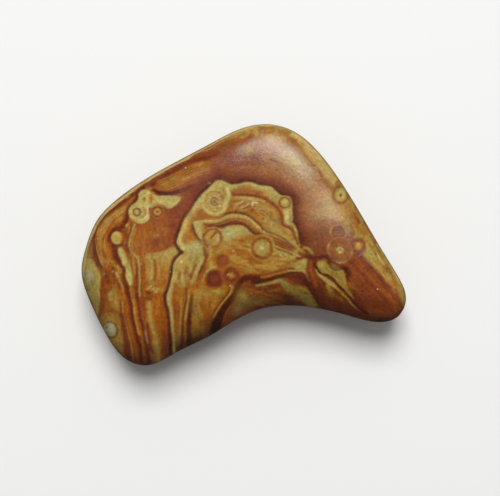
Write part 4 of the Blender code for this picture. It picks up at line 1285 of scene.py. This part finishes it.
def stain_east(skin):
    """Khaki and brown flows of the east arm, with its orbs, and the brick-red snout."""
    snout = (
        "11 -0.4, 12.2 -1.6, 13.4 -2.9, 14.6 -4.2, 18 -5.5, 18 -10, 12.4 -10, 11.3 -5.5, 10.6 -3.6,"
        "10.2 -2.2"
    )
    skin.patch("rust", snout, 0.4, 0.95)
    # The last dark wash, along the snout's south rim, is painted shade.
    skin.washes(
        "brick 12.8 -4.4 2.2 0.9 -45 0.75, umber 12 -5.6 1.4 0.6 -35 0.8, clay 14.6 -4.4 0.9 0.7 -40 0.5,"
        "soot 13.2 -7.5 2.8 0.55 0 0.85"
    )
    flow = "10.9 0.4, 11.3 -0.6, 11.9 -1.4, 12.6 -2.1, 13.2 -2.8, 13.9 -3.6, 14.8 -4.5, 15.8 -5.6"
    stops = (
        "-1.6 rust 0, -1.2 brick 0.5, -0.9 brick 0.7, -0.6 orange 0.5, -0.3 brick 0.8, 0 brick 1,"
        "0.35 rust 0.7, 0.6 orange 0"
    )
    skin.bands(flow, stops, (0.6, 0.8))
    skin.streaks(flow, -2.6, 0.4, "umber", "clay", 0.26, 0.4, (0.8, 0.6))
    border = (
        "8 9.2, 9.3 7.5, 10.4 6.4, 12.2 3.6, 14.6 0.2, 17.4 -4.4, 16.2 -6.2, 15.4 -4.4, 14.4 -3.6,"
        "13.7 -2.8, 13.1 -2.2, 12.4 -1.3, 11.9 -0.6, 11.2 0.6, 10.6 1.6, 10 2.6, 9.6 4, 8.8 6, 7.8 7.8"
    )
    skin.patch("khaki", border, 0.22, 0.95)
    edge = "8.6 8.2, 9.9 6.2, 11.2 4, 12.3 2.2, 13.4 0.2, 14.4 -1.6, 15.3 -3.4, 15.9 -5.2"
    skin.streaks(edge, -1.3, 0.4, "orange", "straw", 0.22, 0.7, (0.3, 2))
    for mineral, path in (
        ("orange", "10.2 4.3 0.04, 10.7 3.5 0.12, 11.1 2.7 0.14, 11.5 1.9 0.12, 12.2 0.9 0.06"),
        ("rust", "10.9 3.5 0.03, 11.25 2.8 0.08, 11.6 2.1 0.05"),
        ("rust", "10.6 2.4 0.03, 10.8 1.6 0.08, 10.95 0.8"),
        ("gold", "11.2 1.6 0.1, 11.8 0.9 0.14, 12.4 0.2 0.1"),
        ("orange", "11.9 2.6 0.02, 12.6 1.4 0.05, 13.3 0.2 0.04"),
        ("straw", "11.6 3.9 0.04, 12.6 2.2 0.07, 13.6 0.5, 14.7 -1.7 0.06, 15.5 -3.5 0.03"),
    ):
        skin.stroke(mineral, path, 0.14, 0.8)
    skin.washes(
        "khaki 12.6 -0.7 0.5 0.5 -50 0.9, gold 13.4 -1.8 0.35 0.6 25 0.7, rust 14.2 -2.3 0.28 0.45 25 0.8,"
        "orange 14.9 -3.7 0.3 0.6 25 0.7"
    )
    skin.orb(13.15, -0.8, "0 umber 0.8, 0.08 brick 0.6, 0.18 gold 0")
    tan_ground = (
        "5.6 6.4, 7.2 6.6, 8.8 5.6, 10.6 3.8, 11 2.2, 10.4 1.4, 9.8 2.2, 8.6 2.4, 7.6 2, 6.4 2.4, 5.4 4"
    )
    skin.patch("tan", tan_ground, 0.5, 0.8)
    skin.washes(
        "khaki 8.9 3.6 1 0.7 0 0.7, khaki 8.4 4.8 0.6 0.8 0 0.6, khaki 7.6 3.1 0.7 0.4 10 0.5,"
        "khaki 10.1 2.3 0.3 0.9 12 0.8, gold 10.2 3.2 0.6 0.5 20 0.6"
    )
    skin.stroke("clay", "7.6 2.2 0.03, 8.2 2.6 0.08, 8.9 2.45, 9.3 2.15 0.03", 0.14, 0.6)
    disc = "0 mauve 0.8, 0.3 clay 1, 0.5 clay 0.8, 0.64 brick 0.9, 0.74 tan 0.6, 0.9 khaki 0"
    skin.orb(9.45, 1.35, disc, 1)
    skin.washes("umber 9.1 1.7 0.3 0.25 -30 0.5")
    skin.stroke("khaki", "8.75 2 0.01, 8.6 1.5 0.03, 8.75 1 0.02", 0.07, 0.7)
    skin.washes("brick 7.8 0.4 1.2 0.9 -20 0.5, mauve 7 1.8 1.2 1.2 0")
    rings = (
        "0 brick 1, 0.08 clay 0.9, 0.16 cream, 0.3 cream 0.8, 0.4 clay 0.9, 0.55 orange 0.6, 0.8 clay 0.9,"
        "1, 1.12 rust 0.8, 1.24 tan 0.5, 1.36 rust 0.6, 1.6 brick 0"
    )
    skin.orb(9.6, -0.4, rings, 1)
    for path in (
        "8.5 0.4 0.01, 8.35 -0.3 0.03, 8.6 -1 0.02",
        "9 -1.5 0.01, 9.7 -1.68 0.03, 10.4 -1.4 0.02",
        "10.7 0.1 0.01, 10.82 -0.4 0.03, 10.6 -1 0.01",
    ):
        skin.stroke("khaki", path, 0.07, 0.7)
    rings = "0 gold 1, 0.25, 0.4 orange, 0.52 rust 0.95, 0.62 umber 0.8, 0.75 brick 0.6, 0.95 rust 0"
    skin.orb(11.45, 0, rings, 1)
    rings = (
        "0 orange 1, 0.12 rust 0.95, 0.2 cream 1, 0.4 cream 0.9, 0.55 gold 0.95, 0.7 rust 0.85,"
        "0.84 clay 0.6, 1.05 tan 0"
    )
    skin.orb(9.65, 5.1, rings, 1.15, 0)
    skin.washes(
        "cream 10.15 5.7 0.4 0.35 -40 0.85, khaki 9.9 6.3 0.4 0.3 -50 0.8, umber 6.2 0.6 0.8 0.9 -30,"
        "plum 6.2 -0.2 0.5 0.4, brick 7.6 -0.6 1 0.6 -25 0.6"
    )


def stain_north(skin):
    """The mottled north shoulder, with the marks along its rim."""
    shoulder = (
        "-0.9 9.6, 0.2 10.3, 1.4 11.1, 3 11.2, 4.6 10.5, 5.6 9.6, 6.5 8.6, 7 7.9, 6.6 6.9, 5.4 7, 4.2 7.5,"
        "3 8.3, 1.6 8.9, 0.2 9.1"
    )
    skin.patch("clay", shoulder, 0.35, 0.9)
    skin.washes(
        "tan 3.4 8.9 2.2 1 -25 0.75, khaki 5.4 8.3 1.7 1 -40 0.95, straw 5.5 8.2 1 0.5 -40 0.3,"
        "tan 2.6 10.2 1.8 0.6 0 0.5, khaki 0.5 9.5 0.5 0.3 20 0.8, clay 2.4 9.5 1.2 0.4 -10 0.4,"
        "tan 2.2 6.9 1.6 0.5 -14 0.7, tan 6 6.8 1.7 1.4 -35 0.9, orange 8 5 0.6 0.9 0 0.35,"
        "brick 0.1 8.1 1.2 0.6 10 0.4, clay 5.7 4.8 0.7 0.9 0 0.5"
    )
    sweep = "-3.4 8, -1 7.9, 1.4 7.7, 3.4 6.8, 5 5.4, 5.9 3.6, 6.4 1.6"
    skin.streaks(sweep, -1, 1.6, "umber", "tan", 0.3, 0.5, (0.4, 1), 6)
    skin.washes("ochre -1 7.4 1.8 0.3 -3 0.6, ochre 1.8 7.3 1.4 0.3 -14 0.5, brick -1.6 9 1.6 0.5 20 0.6")
    rim = "-5 9.5, -3 10.5, -1 11.3, 1 11.95, 3 12.1, 5 11.35, 6.6 10.1, 8 8.4, 9.4 6.4"
    shades = (
        "-1.1 clay 0, -0.7 orange 0.4, -0.42 ochre 0.6, -0.28 tan 0.8, -0.15 khaki, -0.02 straw 0.9, 0.4,"
        "0.6 khaki 0"
    )
    skin.bands(rim, shades, (1.5, 1.5))
    skin.streaks(rim, -1, 0.4, "ochre", "khaki", 0.2, 0.5)
    skin.washes("straw 2.9 10.9 1.4 0.4 -8 0.6")
    skin.stroke("orange", "4.4 11.1 0.1, 5.6 10.2 0.2, 6.5 9.2, 7.5 7.8 0.1", 0.3, 0.45)
    skin.stroke("straw", "4.6 11.4 0.1, 6.3 10.4 0.16, 7.7 8.9 0.2, 9.2 6.9 0.16", 0.2, 0.8)
    skin.stroke("rust", "-2.4 9.7 0.1, -1 10.2 0.2, 0.2 10.7, 0.95 11.4 0.1", 0.2, 0.8)
    skin.stroke("khaki", "-0.6 10.8 0.02, 0.1 11 0.06, 0.6 11.5 0.04", 0.1, 0.6)
    box = "1.4 11.25, 2.95 11.35, 3 11.85, 1.5 11.85"
    skin.patch("rust", box, 0.12, 0.6)
    skin.patch("orange", box, 0.2, 0.5)
    skin.stroke("khaki", "1.25 10.9 0.04, 1.22 11.3 0.06, 1.25 11.9 0.05", 0.08, 0.9)
    skin.washes("khaki 3.3 11.6 0.25 0.3 0 0.8")
    diamond = "6.75 8.1, 7.3 7.95, 7.6 7.4, 7.85 6.85, 7.2 6.5, 6.8 6.9, 6.7 7.5"
    skin.patch("tan", diamond, 0.15, 0.8)
    skin.stroke("brick", "6.75 8.1 0.02, 7.3 7.98 0.04, 7.55 7.4 0.05, 7.85 6.9 0.03", 0.07, 0.8)
    skin.stroke("brick", "7.85 6.85 0.03, 7.4 6.5 0.04, 6.95 6.6 0.02", 0.07, 0.6)
    # Painted highlight: the two pale washes on the shoulder, where the window's shine falls.
    skin.washes(
        "pearl 6.2 7.3 0.8 0.6 -40 0.25, mauve 6 7.5 0.25 0.15 -20 0.5, pearl 0.1 9.8 0.9 0.35 30 0.25"
    )
    for x, y, size in listed(
        "2.75 8.65 0.09, 3.65 9.9 0.1, 1.7 9.5 0.08, 4.9 8 0.07, -0.6 8.1 0.06, 4.3 6.75 0.09, 2 10.5 0.06,"
        "3 9.4, 4.3 9 0.08, 3.7 8.3 0.07, 5.8 8.4, 0.3 9.9 0.06, 6.2 6.2, 6.9 5.4 0.08, 5.2 5.9 0.06,"
        "8.3 7.4 0.1, 2.3 9.9 0.06, 3.9 10.5"
    ):
        skin.wash("umber", x, y, size, size, 0, 0.7)


def painted_rim_highlight(skin):
    """Painted highlight: a thin straw line along the rim from the west round to the north, the bright
    edge that light gives the rim.
    """
    rim = (
        "-16.1 -3.6, -15.9 -1.2, -15.3 0.9, -14.2 2.9, -12.5 4.5, -9.8 6.45, -6.4 8.4, -3 10.3, 0.1 11.75,"
        "2.7 12.1, 5.2 11.4, 7.4 9.6"
    )
    skin.bands(rim, "-0.17 ochre 0, -0.08 straw 0.8, 0.1 straw 1, 0.5 ochre 0", (1.5, 1.5))


def stain_edges(skin):
    """Last touches: paler along the rim and beside the main seam, and a darker snout."""
    skin.stroke("straw", "5.5 10.8 0.1, 7.2 8.9 0.25, 8.4 7.4 0.3, 9.3 6.4 0.15", 0.3, 0.6)
    skin.washes(
        "tan -15.3 -0.3 0.25 0.8 -10 0.4, straw 1.9 11.5 1.3 0.3 4 0.3, tan -2 9.7 1 0.4 25,"
        "ochre -5.4 3.1 0.25 0.5 -30, plum 14 -6 0.9 0.5 -40 0.4"
    )


def stain_wall(skin, height, cover):
    """Strata on the wall from the west round by the north to the east, by their height over the waist."""
    strata = (
        "-3.6 umber 0.7, -3.1 rust 0.9, -2.8 gold, -2.5 rust, -2.1 brick, -1.8 ochre, -1.55 khaki,"
        "-1.4 gold, -1.2 brick, -0.9 rust, -0.65 gold, -0.45 khaki, -0.25 ochre, -0.05 rust, 0.2 brick 0.8,"
        "0.4 ochre 0.9, 0.55 khaki, 0.7 straw, 1.05 straw 0.8, 1.2 khaki 0.7, 1.4 ochre, 1.7 rust,"
        "2.1 brick 0.6, 2.6 rust 0"
    )
    skin.graded(np.arange(len(height)), height, strata, cover)


def stain_marks(skin):
    """Small pale marks: healed scratches and specks."""
    for path in (
        "3.6 -0.95, 3.72 -1.02, 3.82 -1",
        "-6.3 -1.42, -6.22 -1.55, -6.2 -1.66",
        "-1.15 -0.5, -1 -0.52",
        "0.42 0.05, 0.46 0.16",
        "1.05 4.45, 1.2 4.35, 1.35 4.42",
        "0.7 4.1, 0.85 4.25, 0.95 4.5",
        "-2.5 5.25, -2.42 5.1",
        "-2.45 4.05, -2.35 3.95",
        "-1.65 1.25, -1.5 1.15",
        "-1.8 0.95, -1.7 1.05",
        "4.02 9.45, 4.08 9.35",
        "0.55 8.72, 0.65 8.68",
    ):
        skin.stroke("pearl", [(x, y, 0.02) for x, y in listed(path)], 0.045, 0.75, (0.04, 0.04))


def stain_belly(skin):
    """The underside's own markings, in plan: flows of gold and brick round a pale middle, with orbs."""
    skin.washes("rust 0 0 30 30 0 1")
    flow = "-22 3, -15 1.5, -10 3.4, -5 2.2, -1 4.6, 4 5.2, 8 2.6, 12 0.5, 22 -4"
    stops = []
    for k, mineral in enumerate("brick orange gold ochre plum cream khaki ochre rust".split()):
        stops.append((-6.5 + 0.9 * k, mineral, 0.9))
    for k, mineral in enumerate("orange gold rust umber khaki olive orange brick plum".split()):
        stops.append((1.6 + 0.8 * k, mineral, 0.9))
    skin.bands(flow, stops, (3, 3))
    course = (
        "-20 -2 0.1, -14 -2.6 0.14, -9 -1 0.12, -4 -2.4 0.14, 0 -1.2 0.12, 5 -2.6 0.16, 10 -3 0.14,"
        "18 -5 0.1"
    )
    skin.seam(course, 1, 1.2)
    for x, y, size in listed("-8.5 -5.2 1, -3.2 3.4 0.8, 6.3 1 1.1, -12 0.2 0.6, 1.4 -4 0.7"):
        rings = listed("0 brick 1, 0.16 cream, 0.5 khaki, 0.7 gold 0.9, 0.85 umber, 1.1 rust 0")
        skin.orb(x, y, [(radius * size, mineral, cover) for radius, mineral, cover in rings])


# Coats of the crown, in order. Most are the stone's own markings; the dark washes along the south rims are
# painted shade, and the pale washes on the north shoulder and the rim line are painted highlight.
CROWN_COATS = (
    stain_ground,
    stain_north,
    stain_east,
    stain_west_flow,
    stain_west_edge,
    stain_west_columns,
    stain_lens,
    stain_cream_orbs,
    stain_middle,
    stain_arch,
    stain_second_arch,
    stain_centre,
    stain_legs,
    stain_bay,
    stain_leaf,
    stain_main_seam,
    painted_rim_highlight,
    stain_edges,
)


def strata_cover(height, outward, is_belly):
    """Cover of the wall's strata: full in the west, north and east, none in the south, and fading out some
    way over the waist, which is higher in the west."""
    northern = smooth_step(*WALL_START, outward[:, 1])
    lift = WALL_LIFT * smooth_step(*WALL_TURN, outward[:, 0])
    return northern * np.where(is_belly, 1.0, 1 - smooth_step(*WALL_TOP, height - lift))


def stone_colours(points, is_belly, edge, field):
    """Colour of every point. The crown's markings carry on over the waist and down the wall, as they run
    through the stone: on the belly's points they are read as far out from the waist point's own place on
    the sheet as the point lies from it. Strata go over them round the wall. A dark seam that wanders round
    under the waist parts them from the belly's own."""
    spots = points + FIELD_START
    tremble = TREMBLE * field.pair(spots, TREMBLE_SIZE, TREMBLE_SHIFTS)
    outward = edge[:, :2] - np.array(MIDDLE)
    outward /= np.linalg.norm(outward, axis=1)[:, None]
    run = np.linalg.norm(points - edge[:, :3], axis=1)
    sheet = on_sheet(points)
    sheet[is_belly] = on_sheet(edge[is_belly, :3]) + outward[is_belly] * run[is_belly, None]
    wander = field.pair(spots, WANDER_SIZE, WANDER_SHIFTS)
    sheet += WANDER * smooth_step(0.0, WANDER_RUN, run * is_belly)[:, None] * wander
    skin = Skin(sheet + tremble, "rust", field)
    for stain_and_painted_light in CROWN_COATS:
        stain_and_painted_light(skin)
    height = points[:, 2] - edge[:, 2]
    waves = WANDER * smooth_step(*WALL_CALM, height) * field.rough(spots + STRATA_SHIFT, WANDER_SIZE, 4)
    stain_wall(skin, height + waves, strata_cover(height, outward, is_belly))
    stain_marks(skin)
    belly = Skin(points[is_belly, :2] + tremble[is_belly], "rust", field)
    stain_belly(belly)
    past = run[is_belly] - HEM - HEM_WANDER * field.at(spots[is_belly], HEM_SIZE)
    share = smooth_step(-SHARP, SHARP, past)[:, None]
    under = skin.colour[is_belly] * (1 - share) + belly.colour * share
    plum = bell(np.maximum(np.abs(past) - HEM_HALF, 0), np.where(past > 0, *HEM_SOFT))[:, None]
    skin.colour[is_belly] = under + (PIGMENT["plum"] - under) * plum
    return skin.colour


def add_node(tree, kind, settings=None, **inputs):
    """Adds a shader node, sets its properties, and fills its inputs: a socket is linked, a value set. An
    input with no name of its own goes by its number after an underscore."""
    node = tree.nodes.new(kind)
    for name, value in (settings or {}).items():
        setattr(node, name, value)
    for name, value in inputs.items():
        socket = node.inputs[int(name[1:])] if name[1:].isdigit() else node.inputs[name.replace("_", " ")]
        if isinstance(value, bpy.types.NodeSocket):
            tree.links.new(value, socket)
        else:
            socket.default_value = value
    return node


def scale_of(size):
    """Scale of a pattern on Object coordinates whose cells are so many millimetres wide."""
    return 1 / (size * MM)


def mottled(tree, place, size, detail):
    """Brightness that wavers in clouds of a size in millimetres."""
    clouds = add_node(
        tree, "ShaderNodeTexNoise", Vector=place, Scale=scale_of(size), Detail=detail, Roughness=0.6
    )
    ends = {"From_Min": NOISE_SPAN[0], "From_Max": NOISE_SPAN[1], "To_Min": MOTTLE[0], "To_Max": MOTTLE[1]}
    return add_node(tree, "ShaderNodeMapRange", Value=clouds.outputs["Fac"], **ends).outputs[0]


def blushing(tree, place, colour):
    """A colour that turns warmer and cooler from place to place."""
    blush = add_node(
        tree, "ShaderNodeTexNoise", Vector=place, Scale=scale_of(BLUSH_SIZE), Detail=3.0, Roughness=0.7
    )
    ends = {"From_Min": NOISE_SPAN[:1] * 3, "From_Max": NOISE_SPAN[1:] * 3}
    ends |= {"To_Min": BLUSH_COOL, "To_Max": BLUSH_WARM, "Vector": blush.outputs["Fac"]}
    tint = add_node(tree, "ShaderNodeMapRange", {"data_type": "FLOAT_VECTOR"}, **ends)
    tinted = {"_0": colour, "_1": tint.outputs["Vector"]}
    return add_node(tree, "ShaderNodeVectorMath", {"operation": "MULTIPLY"}, **tinted).outputs[0]


def speckled(tree, place, colour, size, widest, mineral):
    """Scatters specks of one mineral over a colour: a speck at the middle of some cells, where a slow
    field lets them show."""
    scale = scale_of(size)
    cells = add_node(tree, "ShaderNodeTexVoronoi", Vector=place, Scale=scale)
    patches = add_node(tree, "ShaderNodeTexNoise", Vector=place, Scale=scale * SPECK_PATCHES, Detail=2.0)
    ends = {"From_Min": SPECK_LIMITS[0], "From_Max": SPECK_LIMITS[1], "To_Min": 0.0, "To_Max": widest}
    radius = add_node(tree, "ShaderNodeMapRange", Value=patches.outputs["Fac"], **ends)
    ends = {"From_Min": radius.outputs[0], "From_Max": 0.0, "To_Min": 0.0, "To_Max": SPECK_COVER}
    cover = add_node(tree, "ShaderNodeMapRange", Value=cells.outputs["Distance"], **ends)
    mix = add_node(tree, "ShaderNodeMix", {"data_type": "RGBA"}, _0=cover.outputs[0], _6=colour)
    mix.inputs[7].default_value = (*PIGMENT[mineral], 1)
    return mix.outputs[2]


def polished_porcelanite():
    """Tumble-polished porcelanite. The eye gets the markings, a fine grain that breaks up each mineral,
    scattered dark and pale specks, and a soft wax-like shine that pits break up a little."""
    material = bpy.data.materials.new("polished_porcelanite")
    material.use_nodes = True
    tree = material.node_tree
    shader = tree.nodes["Principled BSDF"]
    # The colour attribute holds the markings, with painted shade along the south rims and painted highlight
    # on the north shoulder and rim.
    stain_and_painted_light = add_node(tree, "ShaderNodeVertexColor", {"layer_name": "stain_and_painted_light"}).outputs["Color"]
    place = add_node(tree, "ShaderNodeTexCoord").outputs["Object"]
    clouds = mottled(tree, place, CLOUD_SIZE, 4.0)
    grain = mottled(tree, place, GRAIN_SIZE, 2.0)
    light = add_node(tree, "ShaderNodeMath", {"operation": "MULTIPLY"}, _0=clouds, _1=grain)
    tinted = {"Vector": blushing(tree, place, stain_and_painted_light), "Scale": light.outputs[0]}
    colour = add_node(tree, "ShaderNodeVectorMath", {"operation": "SCALE"}, **tinted).outputs["Vector"]
    for size, widest, mineral in SPECKS:
        colour = speckled(tree, place, colour, size, widest, mineral)
    tree.links.new(colour, shader.inputs["Base Color"])
    pits = add_node(
        tree, "ShaderNodeTexNoise", Vector=place, Scale=scale_of(PIT_SIZE), Detail=2.0, Roughness=0.7
    )
    bump = add_node(
        tree, "ShaderNodeBump", Strength=0.8, Distance=PIT_DEPTH * MM, Height=pits.outputs["Fac"]
    )
    tree.links.new(bump.outputs["Normal"], shader.inputs["Normal"])
    shader.inputs["Roughness"].default_value = ROUGHNESS
    shader.inputs["IOR"].default_value = REFRACTION
    return material


def make_pebble():
    """The stone: one closed skin with its colours at its points."""
    field = Noise(SEED)
    points, quads, strip, is_belly, edge = pebble_surface(field)
    colours = stone_colours(points, is_belly, edge, field)
    mesh = bpy.data.meshes.new("pebble_skin")
    mesh.from_pydata((points * MM).tolist(), [], quads.tolist() + strip.tolist())
    # Besides the markings, the colours hold painted shade along the south rims and painted highlight on the
    # north shoulder and rim.
    layer = mesh.color_attributes.new("stain_and_painted_light", "FLOAT_COLOR", "POINT")
    layer.data.foreach_set("color", np.column_stack([colours, np.ones(len(colours))]).ravel())
    mesh.shade_smooth()
    mesh.materials.append(polished_porcelanite())
    mesh.update()
    pebble = bpy.data.objects.new("pebble_skin", mesh)
    bpy.context.scene.collection.objects.link(pebble)
    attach(pebble, "root")
    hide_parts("pebble")


def aimed(lamp_or_camera, place, target):
    """An object at a place in metres, turned to look at a target."""
    thing = bpy.data.objects.new(lamp_or_camera.name, lamp_or_camera)
    bpy.context.scene.collection.objects.link(thing)
    thing.location = place
    thing.rotation_euler = (Vector(target) - Vector(place)).to_track_quat("-Z", "Y").to_euler()
    return thing


def plain_matt(name, code, roughness):
    """A plain matt surface."""
    material = bpy.data.materials.new(name)
    material.use_nodes = True
    shader = material.node_tree.nodes["Principled BSDF"]
    shader.inputs["Base Color"].default_value = (*linear(code), 1)
    shader.inputs["Roughness"].default_value = roughness
    return material


def make_table():
    """A plain pale table under the stone, which the polish doesn't mirror."""
    mesh = bpy.data.meshes.new("table")
    half = FLOOR_HALF
    corners = [(-half, -half, 0), (half, -half, 0), (half, half, 0), (-half, half, 0)]
    mesh.from_pydata(corners, [], [(0, 1, 2, 3)])
    mesh.materials.append(plain_matt("pale_table", "#ededeb", FLOOR_ROUGHNESS))
    table = bpy.data.objects.new("table", mesh)
    table.visible_glossy = False
    bpy.context.scene.collection.objects.link(table)


def make_lamp(name, bearing, height, wide, tall, power):
    """A rectangular lamp that faces the stone."""
    lamp = bpy.data.lights.new(name, "AREA")
    lamp.shape = "RECTANGLE"
    lamp.size, lamp.size_y = wide, tall
    lamp.energy = power
    bearing, height = math.radians(bearing), math.radians(height)
    flat = LAMP_DISTANCE * math.cos(height)
    place = (flat * math.cos(bearing), flat * math.sin(bearing), LAMP_DISTANCE * math.sin(height))
    return aimed(lamp, place, (0, 0, 0))


def make_room():
    """A pale, dim room. Its brightness is one for what it lights, one for what the polish mirrors of it
    and one for what the camera sees of it."""
    world = bpy.data.worlds.new("pale_room")
    world.use_nodes = True
    tree = world.node_tree
    background = tree.nodes["Background"]
    path = add_node(tree, "ShaderNodeLightPath").outputs
    level = add_node(tree, "ShaderNodeMapRange", Value=path["Is Glossy Ray"], To_Min=ROOM, To_Max=SHEEN)
    ends = {"To_Min": level.outputs[0], "To_Max": BACKDROP}
    level = add_node(tree, "ShaderNodeMapRange", Value=path["Is Camera Ray"], **ends)
    tree.links.new(level.outputs[0], background.inputs["Strength"])
    background.inputs["Color"].default_value = (1, 1, 1, 1)
    bpy.context.scene.world = world


def make_studio():
    """Table, lamps and room. A high soft skylight casts the shadow, and a window lower down in the
    north-north-east is seen as the soft shine on the stone's shoulder."""
    make_table()
    make_lamp("skylight", *SKYLIGHT).visible_glossy = False
    make_lamp("window", *WINDOW).visible_diffuse = False
    make_room()
    bpy.context.scene.view_settings.view_transform = "Standard"


def make_camera():
    """The camera, over the stone and leaning to the south."""
    camera = bpy.data.cameras.new("camera")
    camera.sensor_width = SENSOR_WIDTH
    camera.lens = SENSOR_WIDTH * FOCAL_LENGTH / FRAME_WIDTH
    camera.clip_start = MM
    lean = EYE_DISTANCE * np.array((0, -math.sin(EYE_LEAN), math.cos(EYE_LEAN)))
    bpy.context.scene.camera = aimed(camera, (AIM + lean) * MM, AIM * MM)


make_pebble()
make_studio()
make_camera()
